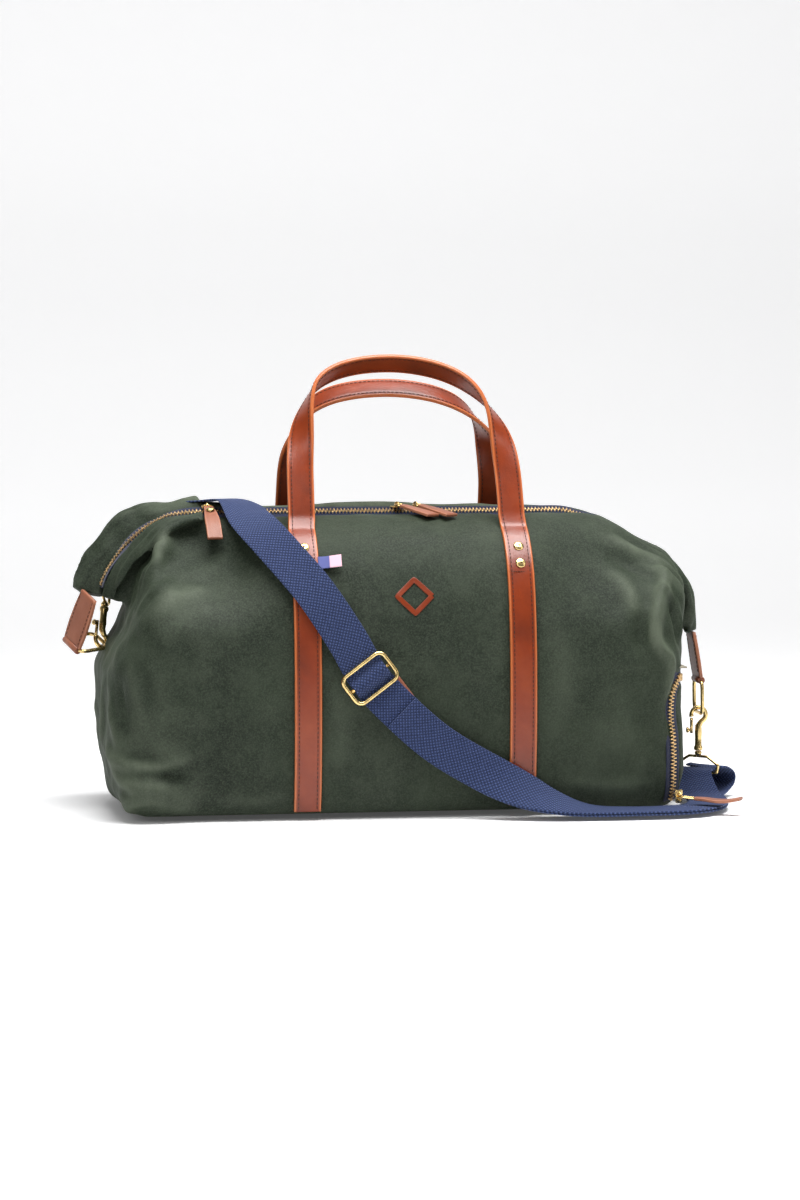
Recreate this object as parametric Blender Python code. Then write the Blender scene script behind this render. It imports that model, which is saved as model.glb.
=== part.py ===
"""Weekender bag: soft canvas body, leather handles, brass hardware and a webbing shoulder strap.

Metres, +Z up.  The origin is the centre of the base, on the surface that the bag stands on.
+X runs along the bag towards its shoe compartment, and -Y is the front.
"""
import math

import bmesh
import bpy
import numpy as np
from mathutils import Vector

# ---- driving dimensions -------------------------------------------------------------------
GAP = 0.0004                 # clearance between pieces that touch
CANVAS = 0.0024              # canvas with its lining
LEATHER = 0.0036             # doubled strap leather
WEB_WIDTH = 0.038            # shoulder strap webbing
WEB_THICK = 0.0018
STRAP_WIDTH = 0.0254         # handle and body straps
STRAP_X = 0.1015             # centre of each body strap
STRAP_LIFT = 0.0009          # the straps lie just off the cloth

END_X = 0.262                # end seams at the base
CORNER = 0.030               # plan radius of the vertical corners
SEAM_LOW, SEAM_HIGH = 57.0, 62.0     # corner angles where a side panel stops and an end starts
ZIP_HALF = 0.0165            # half width of the top opening between the panels
ZIP_LEFT, ZIP_RIGHT = -0.236, 0.190
FRONT_PINCH = 0.26           # how much further the front's shoulder falls away on the left

END_BELLY = {-1: (0.022, 0.190), 1: (0.012, 0.250)}   # how far each end swells, and up to what height

SHOE_TOP = 0.124             # height of the shoe compartment's zip
SHOE_ZIP_TURN = math.radians(58)     # how far round the corner, from the end, its legs run
SHOE_WALL_X = 0.150          # wall between the main and the shoe compartment

# side profile from the base edge to the zip: distance from the centre plane, height
PROFILE = [(0.1080, 0.0040), (0.1125, 0.030), (0.1165, 0.070), (0.1175, 0.110), (0.1158, 0.150),
           (0.1105, 0.190), (0.1020, 0.222), (0.0910, 0.242), (0.0780, 0.2565), (0.0600, 0.2680),
           (0.0390, 0.2755), (ZIP_HALF, 0.2790)]
PROFILE_STEPS = 21

COLOURS = {                  # base colour, metallic, roughness
    "canvas": ((0.045, 0.058, 0.043), 0.0, 0.85),
    "lining": ((0.30, 0.27, 0.21), 0.0, 0.9),
    "leather": ((0.33, 0.09, 0.035), 0.0, 0.4),
    "tab_leather": ((0.30, 0.11, 0.06), 0.0, 0.5),
    "webbing": ((0.018, 0.030, 0.085), 0.0, 0.85),
    "tape": ((0.012, 0.014, 0.028), 0.0, 0.9),
    "brass": ((0.72, 0.52, 0.22), 1.0, 0.28),
    "label": ((0.70, 0.62, 0.55), 0.0, 0.9),
    "board": ((0.05, 0.05, 0.05), 0.0, 0.7),
}


# ---- small maths --------------------------------------------------------------------------
def smooth(t):
    t = min(1.0, max(0.0, t))
    return t * t * (3.0 - 2.0 * t)


def unit(v):
    v = np.asarray(v, float)
    return v / np.linalg.norm(v)


def spline(points, count):
    """A smooth curve through the points, resampled to even spacing."""
    p = np.asarray(points, float)
    ends = np.vstack([2 * p[0] - p[1], p, 2 * p[-1] - p[-2]])
    dense = []
    for a, b, c, d in zip(ends, ends[1:], ends[2:], ends[3:]):
        for t in np.linspace(0.0, 1.0, 24, endpoint=False):
            dense.append(0.5 * (2 * b + (c - a) * t + (2 * a - 5 * b + 4 * c - d) * t ** 2
                                + (3 * b - a - 3 * c + d) * t ** 3))
    dense = np.array(dense + [p[-1]])
    walk = np.concatenate([[0.0], np.cumsum(np.linalg.norm(np.diff(dense, axis=0), axis=1))])
    at = np.linspace(0.0, walk[-1], count)
    return np.stack([np.interp(at, walk, dense[:, i]) for i in range(p.shape[1])], axis=1)


SIDE = spline(PROFILE, 120)
SIDE_WALK = np.concatenate([[0.0], np.cumsum(np.linalg.norm(np.diff(SIDE, axis=0), axis=1))])
SIDE_LENGTH = SIDE_WALK[-1]


def side_at(s):
    """Distance from the centre plane and height, s metres up the side from the base edge."""
    return np.interp(s, SIDE_WALK, SIDE[:, 0]), np.interp(s, SIDE_WALK, SIDE[:, 1])


def side_at_height(z):
    """Length up the side at which it reaches a height."""
    return float(np.interp(z, SIDE[:, 1], SIDE_WALK))


def end_drop(x):
    """How far the top has sunk towards the bag's ends."""
    return 0.010 * smooth((abs(x) - 0.212) / 0.032)


def skin(x, s, out=0.0, back=False):
    """Point on the side's outer surface, s up from the base edge, moved out along the normal."""
    def raw(px, ps):
        y, z = side_at(ps)
        far = smooth((abs(px) - 0.09) / 0.11)
        high = smooth((z - 0.17) / 0.09)
        pinch = 0.0 if back else FRONT_PINCH * smooth((-px - 0.12) / 0.05) * smooth((px + 0.240) / 0.03)
        y = ZIP_HALF + (y - ZIP_HALF) * (1.0 - (0.34 + pinch) * far * high)
        z -= end_drop(px) * high
        turn = max(0.0, abs(px) - (END_X - CORNER)) * (1.0 - smooth((z - 0.19) / 0.05))
        turn = min(turn, CORNER * 0.999)
        y -= CORNER - math.sqrt(CORNER ** 2 - turn ** 2)
        return np.array([px, -y, z])
    p = raw(x, s)
    along = raw(x + 0.001, s) - raw(x - 0.001, s)
    lo, hi = max(0.0, s - 0.002), min(SIDE_LENGTH, s + 0.002)
    normal = unit(np.cross(along, raw(x, hi) - raw(x, lo)))
    p = p + normal * out
    if back:
        p[1] = -p[1]
    return p


def end_face(walk, z, sign, out=0.0):
    """Point on an end's outer surface, a distance round it from the centre plane."""
    def raw(far, pz):
        half = np.interp(pz, SIDE[:, 1], SIDE[:, 0])
        turn = min(max(0.0, abs(far) - (half - CORNER)) / CORNER, math.pi / 2)
        py = math.copysign(min(abs(far), half - CORNER) + CORNER * math.sin(turn), far)
        x = END_X - CORNER + CORNER * math.cos(turn)
        swell, top = END_BELLY[sign]
        x += swell * math.sin(math.pi * min(1.0, pz / top)) * max(0.0, 1.0 - (py / half) ** 2)
        x -= 0.016 * smooth((pz - 0.17) / 0.07)
        return np.array([sign * x, py, pz])
    along = raw(walk + 0.001, z) - raw(walk - 0.001, z)
    normal = unit(np.cross(along, raw(walk, z + 0.001) - raw(walk, z - 0.001)))
    return raw(walk, z) + normal * (out if normal[0] * sign > 0 else -out)


# ---- object makers ------------------------------------------------------------------------
def material(kind):
    name = "mat_" + kind
    if name in bpy.data.materials:
        return bpy.data.materials[name]
    mat = bpy.data.materials.new(name)
    mat.use_nodes = True
    shader = mat.node_tree.nodes["Principled BSDF"]
    colour, metallic, roughness = COLOURS[kind]
    shader.inputs["Base Color"].default_value = (*colour, 1.0)
    shader.inputs["Metallic"].default_value = metallic
    shader.inputs["Roughness"].default_value = roughness
    return mat


def add(name, verts, faces, kind, origin=(0, 0, 0), parent=None, rounded=True):
    """One closed body, with its origin on its joint's axis where it has one."""
    origin = Vector(origin)
    bm = bmesh.new()
    made = [bm.verts.new(Vector(v) - origin) for v in verts]
    for face in faces:
        bm.faces.new([made[i] for i in face])
    bmesh.ops.remove_doubles(bm, verts=bm.verts, dist=1e-6)
    bmesh.ops.recalc_face_normals(bm, faces=bm.faces)
    mesh = bpy.data.meshes.new(name)
    bm.to_mesh(mesh)
    bm.free()
    if rounded:
        mesh.shade_smooth()
        mesh.set_sharp_from_angle(angle=math.radians(40))
    mesh.materials.append(material(kind))
    obj = bpy.data.objects.new(name, mesh)
    bpy.context.collection.objects.link(obj)
    if parent is not None:
        obj.parent = parent
        origin = origin - parent.matrix_world.translation
    obj.location = origin
    bpy.context.view_layer.update()
    return obj


def slab(outer, inner):
    """Vertices and faces of a closed sheet between two grids of points."""
    outer, inner = np.asarray(outer), np.asarray(inner)
    rows, cols = outer.shape[:2]
    verts = np.vstack([outer.reshape(-1, 3), inner.reshape(-1, 3)])
    far = rows * cols

    def at(r, c):
        return r * cols + c
    faces = []
    for r in range(rows - 1):
        for c in range(cols - 1):
            first, beside, across, below = at(r, c), at(r, c + 1), at(r + 1, c + 1), at(r + 1, c)
            for corners in ((first, beside, across), (first, across, below)):
                faces.append(corners)
                faces.append(tuple(far + i for i in reversed(corners)))
    rim = [at(0, c) for c in range(cols)] + [at(r, cols - 1) for r in range(1, rows)]
    rim += [at(rows - 1, c) for c in range(cols - 2, -1, -1)]
    rim += [at(r, 0) for r in range(rows - 2, 0, -1)]
    for a, b in zip(rim, rim[1:] + rim[:1]):
        faces.append((a, b, far + b, far + a))
    return verts, faces


def ribbon(path, across, width, thick):
    """A flat band centred on a path; across gives its width direction at each point."""
    path = np.asarray(path, float)
    widths = np.broadcast_to(np.asarray(width, float), (len(path),))
    top, under = [], []
    for i, p in enumerate(path):
        ahead = path[min(i + 1, len(path) - 1)] - path[max(i - 1, 0)]
        side = unit(across[i])
        normal = unit(np.cross(side, ahead))
        edge = side * widths[i] / 2
        top.append([p - edge + normal * thick / 2, p + edge + normal * thick / 2])
        under.append([p - edge - normal * thick / 2, p + edge - normal * thick / 2])
    return slab(top, under)


def tube(path, radius, sides=10, closed=False):
    """A round bar along a path, capped or closed on itself; radius may vary along it."""
    path = np.asarray(path, float)
    count = len(path)
    radii = np.broadcast_to(np.asarray(radius, float), (count,))
    verts, faces = [], []
    lean = None
    for i, p in enumerate(path):
        before = path[i - 1] if (i or closed) else p
        after = path[(i + 1) % count] if (i < count - 1 or closed) else p
        ahead = unit(after - before)
        if lean is None:
            lean = np.cross(ahead, (0.31, 0.52, 0.79))
        lean = unit(lean - ahead * np.dot(lean, ahead))
        other = np.cross(ahead, lean)
        for k in range(sides):
            turn = 2 * math.pi * k / sides
            verts.append(p + radii[i] * (math.cos(turn) * lean + math.sin(turn) * other))
    last = count if closed else count - 1
    shift = 0
    if closed:                      # line the last ring up with the first
        first, end = verts[0], verts[-sides:]
        shift = int(np.argmin([np.linalg.norm(v - first) for v in end]))
    for i in range(last):
        j = (i + 1) % count
        move = shift if (closed and j == 0) else 0
        for k in range(sides):
            a, b = i * sides + (k + move) % sides, i * sides + (k + 1 + move) % sides
            faces.append((a, b, j * sides + (k + 1) % sides, j * sides + k))
    if not closed:
        faces.append(tuple(range(sides)))
        faces.append(tuple(range((count - 1) * sides, count * sides)))
    return verts, faces


def loop(centre, u, v, half_u, half_v, corner, steps=5):
    """Closed rounded rectangle in the plane of u and v."""
    u, v, centre = unit(u), unit(v), np.asarray(centre, float)
    points = []
    for quadrant, (su, sv) in enumerate([(1, 1), (-1, 1), (-1, -1), (1, -1)]):
        for k in range(steps):
            turn = math.pi / 2 * (quadrant + k / (steps - 1))
            points.append(centre + u * (su * (half_u - corner) + corner * math.cos(turn))
                          + v * (sv * (half_v - corner) + corner * math.sin(turn)))
    return points


def turned(centre, axis, profile, sides=16):
    """A solid of revolution; profile is a list of (distance along the axis, radius)."""
    axis, centre = unit(axis), np.asarray(centre, float)
    return tube([centre + axis * d for d, _ in profile], [max(r, 1e-4) for _, r in profile], sides)


def block(centre, u, v, w, size):
    """A box with its sides along u, v and w."""
    u, v, w = unit(u), unit(v), unit(w)
    centre = np.asarray(centre, float)
    verts = [centre + u * i * size[0] / 2 + v * j * size[1] / 2 + w * k * size[2] / 2
             for i in (-1, 1) for j in (-1, 1) for k in (-1, 1)]
    faces = [(0, 1, 3, 2), (4, 6, 7, 5), (0, 4, 5, 1), (2, 3, 7, 6), (0, 2, 6, 4), (1, 5, 7, 3)]
    return verts, faces


def plate(outline, low, high):
    """A flat plate with the outline's plan, between two heights."""
    count = len(outline)
    verts = [(p[0], p[1], z) for z in (low, high) for p in outline]
    faces = [tuple(range(count)), tuple(range(count, 2 * count))]
    faces += [(i, (i + 1) % count, count + (i + 1) % count, count + i) for i in range(count)]
    return verts, faces


def unite(obj, extra, label):
    """Weld another solid onto an object with a Boolean union."""
    verts, faces = extra
    cutter = add(obj.name + "_" + label, verts, faces, "board")
    cutter.hide_render = True
    cutter.display_type = "WIRE"
    cutter.parent = obj.parent
    if obj.parent is not None:
        cutter.location = -obj.parent.matrix_world.translation
    step = obj.modifiers.new(label, "BOOLEAN")
    step.operation = "UNION"
    step.object = cutter


# ---- canvas body --------------------------------------------------------------------------
def side_panel(name, back):
    """One big side: up from the base edge, over the shoulder, to the zip."""
    reach = END_X - CORNER + CORNER * math.sin(math.radians(SEAM_LOW))
    shoe_reach = END_X - CORNER + CORNER * math.cos(SHOE_ZIP_TURN + 0.06)
    outer, inner = [], []
    for s in np.linspace(0.0, SIDE_LENGTH, PROFILE_STEPS):
        z = side_at(s)[1]
        half = reach - 0.022 * smooth((z - 0.20) / 0.07)
        right = shoe_reach + (half - shoe_reach) * smooth((z - SHOE_TOP - 0.003) / 0.012)
        xs = np.concatenate([np.linspace(-half, -0.225, 5), [-0.205, -0.185, -0.165, -0.145],
                             np.linspace(-0.125, 0.175, 7), np.linspace(0.205, right, 5)])
        outer.append([skin(x, s, 0.0, back) for x in xs])
        inner.append([skin(x, s, -CANVAS, back) for x in xs])
    add(name, *slab(outer, inner), "canvas")


def end_panel(name, sign, z_low, z_high):
    """An end wall between the corner seams."""
    outer, inner = [], []
    for z in np.linspace(z_low, z_high, 12):
        half = np.interp(z, SIDE[:, 1], SIDE[:, 0])
        seam = half - CORNER + CORNER * math.radians(90.0 - SEAM_HIGH)
        seam *= 1.0 - 0.34 * smooth((z - 0.17) / 0.08)
        ys = np.linspace(-seam, seam, 13)
        outer.append([end_face(y, z, sign, -GAP) for y in ys])
        inner.append([end_face(y, z, sign, -CANVAS - GAP) for y in ys])
    add(name, *slab(outer, inner), "canvas")


def base():
    """The base cloth, and the stiff board that lies on it."""
    half_x, half_y = END_X - 0.004, PROFILE[0][0] - 0.002
    outline = loop((0, 0, 0), (1, 0, 0), (0, 1, 0), half_x, half_y, CORNER, 6)
    add("base_panel", *plate(outline, 0.0, CANVAS), "canvas")
    low_x, high_x = -END_X + 0.012, SHOE_WALL_X - 0.004
    middle = ((low_x + high_x) / 2, 0, 0)
    outline = loop(middle, (1, 0, 0), (0, 1, 0), (high_x - low_x) / 2, half_y - 0.008, 0.012, 4)
    add("base_board", *plate(outline, CANVAS + 0.0006, CANVAS + 0.0034), "board")


def shoe_wall():
    """The wall and roof that part the shoe compartment from the main one, as one bent sheet."""
    half = 0.099
    z_low, z_top = CANVAS + 0.001, SHOE_TOP + 0.010
    path = [(SHOE_WALL_X, 0, z_low), (SHOE_WALL_X, 0, z_top - 0.02), (SHOE_WALL_X + 0.006, 0, z_top - 0.006),
            (SHOE_WALL_X + 0.02, 0, z_top), (END_X + 0.001, 0, z_top)]
    add("shoe_wall", *ribbon(path, [(0, 1, 0)] * len(path), 2 * half, 0.0014), "lining")


def inner_pocket():
    """A flat slip pocket inside the back panel."""
    outer, inner = [], []
    for z in (0.07, 0.10, 0.13, 0.16, 0.185):
        s = side_at_height(z)
        xs = np.linspace(-0.17, 0.10, 7)
        outer.append([skin(x, s, -CANVAS - 0.0012, True) for x in xs])
        inner.append([skin(x, s, -CANVAS - 0.0026, True) for x in xs])
    add("inner_pocket", *slab(outer, inner), "lining")


# path of a gathered zip end from the top of the bag, outwards and down: x, z, half width
EAR_LEFT = [(0.2400, 0.2690, 0.060), (0.2560, 0.2670, 0.056), (0.2720, 0.2590, 0.050),
            (0.2840, 0.2440, 0.043), (0.2895, 0.2260, 0.035), (0.2900, 0.2080, 0.024)]
EAR_RIGHT = [(0.2400, 0.2690, 0.060), (0.2560, 0.2620, 0.056), (0.2700, 0.2440, 0.050),
             (0.2820, 0.2160, 0.042), (0.2890, 0.1880, 0.033), (0.2905, 0.1640, 0.023)]
EAR_THICK = 0.0060


def ear(name, sign, shape):
    """The gusset end that folds over and hangs outside the end panel."""
    line = spline(shape, 12)
    path = [(sign * x, 0.0, z) for x, z, _ in line]
    add(name, *ribbon(path, [(0, 1, 0)] * len(path), 2 * line[:, 2], EAR_THICK), "canvas")


# ---- straps and handles -------------------------------------------------------------------
def body_strap(name, x, back):
    """Leather strap sewn up a side; its top end is thinned so the handle can fold over it."""
    top = side_at_height(HINGE_Z) - 0.0040
    half = STRAP_WIDTH / 2
    rows = [(s, LEATHER) for s in np.linspace(0.001, top - 0.0030, 16)] + [(top, LEATHER - 0.0018)]
    outer = [[skin(x + d, s, STRAP_LIFT + thick, back) for d in (-half, half)] for s, thick in rows]
    inner = [[skin(x + d, s, STRAP_LIFT, back) for d in (-half, half)] for s, _ in rows]
    add(name, *slab(outer, inner), "leather")


HINGE_Z = 0.268              # a handle bends here, just above its stitches
# a handle's line in its own plane: distance along the bag, height over the bend
HANDLE_LINE = [(-0.1005, 0.0), (-0.1003, 0.030), (-0.0995, 0.065), (-0.0965, 0.095), (-0.0910, 0.118),
               (-0.0820, 0.1375), (-0.0660, 0.1500), (-0.0430, 0.1575), (-0.0150, 0.1605),
               (0.0120, 0.1590), (0.0380, 0.1530), (0.0600, 0.1425), (0.0770, 0.1270), (0.0885, 0.1070),
               (0.0955, 0.0820), (0.0992, 0.0520), (0.1003, 0.0250), (0.1005, 0.0)]
HANDLE_TOP = 0.1605
HANDLE_TWIST = (0.30, 0.95)  # share of the height over which the band turns from flat to crosswise
HANDLE_TIP = 18.0            # degrees that its crown tips over further than its plane


def hinge_point(back):
    p = skin(STRAP_X, side_at_height(HINGE_Z), LEATHER / 2 + STRAP_LIFT, back)
    return float(p[1]), float(p[2])


def handle(name, back, lean_deg, rise):
    """A doubled leather band that rises flat, twists a quarter turn and arches over."""
    y0, z0 = hinge_point(back)
    inward = -1.0 if back else 1.0
    lean, tip = math.radians(lean_deg), math.tan(math.radians(HANDLE_TIP))
    up = np.array([0.0, inward * math.sin(lean), math.cos(lean)])
    face = np.array([0.0, -inward * math.cos(lean), math.sin(lean)])     # away from the bag
    line = spline(HANDLE_LINE, 45)
    path, across = [], []
    for x, height in line:
        share = max(0.0, height / HANDLE_TOP)
        path.append(np.array([x, y0, z0]) + up * share * rise)
        start, end = HANDLE_TWIST
        turned_share = smooth((share - start) / (end - start))
        roll = math.pi / 2 * (1.0 - turned_share)
        middle = np.array([-math.copysign(1.0, x), 0.0, 0.0])
        crosswise = face + up * tip * smooth((share - 0.6) / 0.4)
        across.append(crosswise * math.cos(roll) + middle * math.sin(roll))
    path[0] = path[0] + up * 0.0026
    path[-1] = path[-1] + up * 0.0026
    add(name, *ribbon(path, across, STRAP_WIDTH, LEATHER), "leather", origin=(0, y0, z0))


def rivet(name, x, z, back):
    """A domed brass cap on the strap."""
    s = side_at_height(z)
    foot = skin(x, s, LEATHER + STRAP_LIFT + GAP, back)
    top = skin(x, s, LEATHER + STRAP_LIFT + 0.002, back)
    dome = [(0.0, 0.0046), (0.0009, 0.0047), (0.0015, 0.0038), (0.0018, 0.0018)]
    add(name, *turned(foot, top - foot, dome), "brass")


# ---- zips ---------------------------------------------------------------------------------
TEETH_HALF = 0.0030
TOP_Z = PROFILE[-1][1]


def zip_height(x):
    """Height of the top zip's tape along the bag."""
    return TOP_Z + 0.0012 - end_drop(x)


def top_zip():
    """Two tapes and two rows of teeth along the top opening."""
    xs = np.linspace(ZIP_LEFT, ZIP_RIGHT, 24)
    for side, label in ((-1, "front"), (1, "back")):
        tape_mid = side * (ZIP_HALF + 0.0001) / 2
        path = [(x, tape_mid, zip_height(x)) for x in xs]
        add("zip_tape_" + label, *ribbon(path, [(0, 1, 0)] * len(xs), ZIP_HALF - 0.0012, 0.0010), "tape")
        path = [(x, side * (TEETH_HALF / 2 + 0.0002), zip_height(x) + 0.0017) for x in xs]
        add("zip_teeth_" + label, *ribbon(path, [(0, 1, 0)] * len(xs), TEETH_HALF, 0.0014), "brass")


PULL_LENGTH, PULL_WIDTH, PULL_THICK = 0.044, 0.0145, 0.0028
RING_OUT, RING_WIRE = 0.0052, 0.0009
BAIL_HALF, BAIL_FOOT, BAIL_RISE, BAIL_WIRE = 0.0036, 0.0016, 0.0042, 0.0008   # arch on a slider
BAIL_PIVOT = 0.0037


def slider_set(label, x, fall_deg, side_deg, droop, with_rivet):
    """A zip slider, the ring through its bail, and a leather pull that lies on the bag."""
    seat = np.array([x, 0.0, zip_height(x) + 0.0028])
    plain = block(seat + (0, 0, 0.0011), (1, 0, 0), (0, 1, 0), (0, 0, 1), (0.0125, 0.0086, 0.0018))
    body = add("slider_" + label, *plain, "brass", origin=seat)
    side, fall = math.radians(side_deg), math.radians(fall_deg)
    ahead = np.array([math.sin(side), -math.cos(side), 0.0])
    bail = [seat + ahead * BAIL_HALF * math.cos(a) + (0, 0, BAIL_FOOT + BAIL_RISE * math.sin(a))
            for a in np.linspace(0, math.pi, 9)]
    unite(body, tube(bail, BAIL_WIRE, 8), "bail")
    pivot = seat + np.array([0, 0, BAIL_PIVOT])
    out = ahead * math.cos(fall) - (0, 0, math.sin(fall))
    wide = unit(np.cross(out, (0, 0, 1)))
    up = np.cross(wide, out)
    ring_mid = pivot + out * RING_OUT
    round_loop = loop(ring_mid, out, wide, RING_OUT, RING_OUT, RING_OUT, 6)
    add("pull_ring_" + label, *tube(round_loop, RING_WIRE, 8, True), "brass", origin=pivot, parent=body)
    start = pivot + out * (2 * RING_OUT + RING_WIRE + GAP)
    widths = [0.0085, 0.0105, 0.0130, PULL_WIDTH, PULL_WIDTH, PULL_WIDTH]
    path = [start + out * PULL_LENGTH * k / 5 - up * droop * (k / 5) ** 2 for k in range(6)]
    pull = ribbon(path, [wide] * 6, widths, PULL_THICK)
    add("pull_" + label, *pull, "tab_leather", origin=pivot, parent=body)
    if with_rivet:
        foot = start + out * 0.010 + up * (PULL_THICK / 2 + GAP)
        dome = turned(foot, up, [(0, 0.0040), (0.0008, 0.0041), (0.0014, 0.0030)])
        add("pull_rivet_" + label, *dome, "brass", origin=pivot, parent=body)


def shoe_zip_path(count=40, inset=0.0):
    """Inverted U round the shoe compartment's door: distance round from the centre plane, height."""
    points = []
    top, radius = SHOE_TOP - inset, 0.022
    for z in np.linspace(0.006, top - radius, 8):
        half = np.interp(z, SIDE[:, 1], SIDE[:, 0])
        points.append((-(half - CORNER + CORNER * SHOE_ZIP_TURN - inset), z))
    half = -points[-1][0]
    for k in range(1, 7):
        turn = math.pi / 2 * k / 6
        points.append((-(half - radius + radius * math.cos(turn)), top - radius + radius * math.sin(turn)))
    points += [(-y, z) for y, z in reversed(points)]
    return spline(points, count)


def shoe_zip_band(name, kind, half_width, out_low, out_high):
    """A band on the right end that follows the shoe zip."""
    line = shoe_zip_path()
    outer, inner = [], []
    for i, (y, z) in enumerate(line):
        ahead = unit(line[min(i + 1, len(line) - 1)] - line[max(i - 1, 0)])
        side = np.array([-ahead[1], ahead[0]])
        a, b = (y, z) + side * half_width, (y, z) - side * half_width
        outer.append([end_face(*p, 1, out_high) for p in (a, (y, z), b)])
        inner.append([end_face(*p, 1, out_low) for p in (a, (y, z), b)])
    add(name, *slab(outer, inner), kind)


def shoe_door():
    """The cloth door inside the shoe zip."""
    line = shoe_zip_path(41, 0.0080)
    left, right = line[:21], line[20:][::-1]
    outer, inner = [], []
    for (ya, za), (yb, zb) in zip(left, right):
        if yb - ya < 0.01:
            continue
        steps = np.linspace(0, 1, 9)
        cells = [(ya + (yb - ya) * t, za + (zb - za) * t) for t in steps]
        outer.append([end_face(y, z, 1, -GAP) for y, z in cells])
        inner.append([end_face(y, z, 1, -GAP - CANVAS) for y, z in cells])
    add("shoe_door", *slab(outer, inner), "canvas")


def shoe_slider():
    """Slider, link and pull at the foot of the shoe zip; the pull trails on the floor."""
    y, z = shoe_zip_path()[0] + (0.0, 0.0075)
    seat = end_face(y, z, 1, 0.0054)
    normal = unit(end_face(y, z, 1, 0.005) - end_face(y, z, 1, 0.0))
    wide = np.cross(normal, (0, 0, 1))
    plain = block(seat + normal * 0.0010, wide, (0, 0, 1), normal, (0.0086, 0.0125, 0.0018))
    body = add("shoe_slider", *plain, "brass", origin=seat)
    pivot = seat + normal * BAIL_PIVOT
    bail = [seat + normal * (BAIL_FOOT + BAIL_RISE * math.sin(a)) + (0, 0, BAIL_HALF * math.cos(a))
            for a in np.linspace(0, math.pi, 9)]
    unite(body, tube(bail, BAIL_WIRE, 8), "bail")
    out = unit([0.87, -0.49, -0.06])
    side = unit(np.cross(out, (0, 0, 1)))
    link_mid = pivot + out * 0.0078
    link = tube(loop(link_mid, out, side, 0.0078, 0.0042, 0.0040, 5), 0.0009, 8, True)
    add("shoe_pull_link", *link, "brass", origin=pivot, parent=body)
    start = pivot + out * (2 * 0.0078 + 0.0009 + GAP)
    curl = [(0.0, 0.0), (0.010, 0.0), (0.021, 0.0004), (0.032, 0.0016), (0.043, 0.0040)]
    path = [start + out * far + (0, 0, lift) for far, lift in curl]
    pull = ribbon(path, [side] * 5, [0.0085, 0.0115, 0.0145, 0.0145, 0.0145], 0.0026)
    add("shoe_pull", *pull, "tab_leather", origin=pivot, parent=body)


# ---- end tabs, rings and snap hooks -------------------------------------------------------
TAB_WIDTH, TAB_THICK = 0.034, 0.0034
RING_BAR = 0.0018


def end_tab(label, top, down, across, length):
    """Leather tab, its ring, and the frame that the hook hangs in."""
    top, down, across = np.asarray(top, float), unit(down), unit(across)
    across = unit(across - down * np.dot(across, down))
    widths = [TAB_WIDTH * 0.80, TAB_WIDTH * 0.95, TAB_WIDTH, TAB_WIDTH * 0.9]
    path = [top + down * length * k / 3 for k in range(4)]
    add("tab_" + label, *ribbon(path, [across] * 4, widths, TAB_THICK), "tab_leather")
    return top + down * (length + RING_BAR + 2 * GAP), across


def tab_ring(label, bar, across, hang):
    """Rounded wire ring whose upper bar lies along the tab's lower end."""
    hang = unit(hang)
    mid = bar + hang * 0.0165
    wire = tube(loop(mid, across, hang, 0.0165, 0.0165, 0.0085, 5), RING_BAR, 10, True)
    add("ring_" + label, *wire, "brass", origin=bar)
    return bar + hang * 0.033


HOOK_EYE = 0.0072
HOOK_LENGTH = 0.0260         # from neck to foot
STRAP_RING_DROP = 0.0155     # from the strap ring's upper bar to its lower one


def snap_hook(label, held, bar, down, spread, drop):
    """Trigger snap hook that hangs on a ring's bar, its sliding bolt, and the strap's hexagon ring."""
    down, spread = unit(down), unit(spread)
    side = unit(np.cross(down, bar))
    spread = unit(spread - down * np.dot(spread, down))
    centre = held + down * drop
    neck = centre + down * 0.0092
    foot = neck + down * HOOK_LENGTH
    path = [foot, foot - down * 0.002, foot - down * 0.004, neck + down * 0.008, neck + down * 0.002]
    radii = [0.0036, 0.0038, 0.0034, 0.0034, 0.0030]
    for k in range(11):
        turn = math.radians(66 - 26 * k)
        path.append(centre + side * HOOK_EYE * math.cos(turn) + down * HOOK_EYE * math.sin(turn))
        radii.append(0.0024 - 0.00006 * k)
    hook = add("hook_" + label, *tube(path, radii, 10), "brass", origin=foot)
    bolt = centre - side * 0.0070 + down * 0.0030
    rod = tube([bolt, bolt + down * 0.008, bolt + down * 0.0150], 0.0015, 10)
    piece = add("trigger_" + label, *rod, "brass", origin=bolt, parent=hook)
    knob = [(-0.0004, 0.0012), (0.0026, 0.0013), (0.0034, 0.0026), (0.0048, 0.0027), (0.0054, 0.0018)]
    unite(piece, turned(bolt + down * 0.0120, -side, knob, 12), "thumb_knob")
    swivel = foot + down * (GAP + 0.0002)
    half = WEB_WIDTH / 2 + 0.0035
    top_bar = swivel + down * 0.0052
    corners = [(-0.45, 0.0), (0.45, 0.0), (1.0, 0.50), (0.92, 1.0), (-0.92, 1.0), (-1.0, 0.50)]
    hexagon = []
    for (ua, va), (ub, vb) in zip(corners, corners[1:] + corners[:1]):
        for t in (0.08, 0.36, 0.64, 0.92):
            u, v = ua + (ub - ua) * t, va + (vb - va) * t
            hexagon.append(top_bar + spread * half * u + down * STRAP_RING_DROP * v)
    frame = add("strap_ring_" + label, *tube(hexagon, 0.0014, 8, True), "brass", origin=swivel)
    pin = [(0.0, 0.0030), (0.0022, 0.0032), (0.0046, 0.0022), (0.0060, 0.0016)]
    unite(frame, turned(swivel, down, pin, 12), "swivel")
    return top_bar + down * STRAP_RING_DROP, spread


# ---- shoulder strap -----------------------------------------------------------------------
LAYER = 0.0024               # spacing of the strap's two layers
BUCKLE_X, BUCKLE_Z = -0.0450, 0.1300
KEEPER_X, KEEPER_Z = -0.0270, 0.1090     # a leather pad under the strap, beside the buckle
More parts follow.
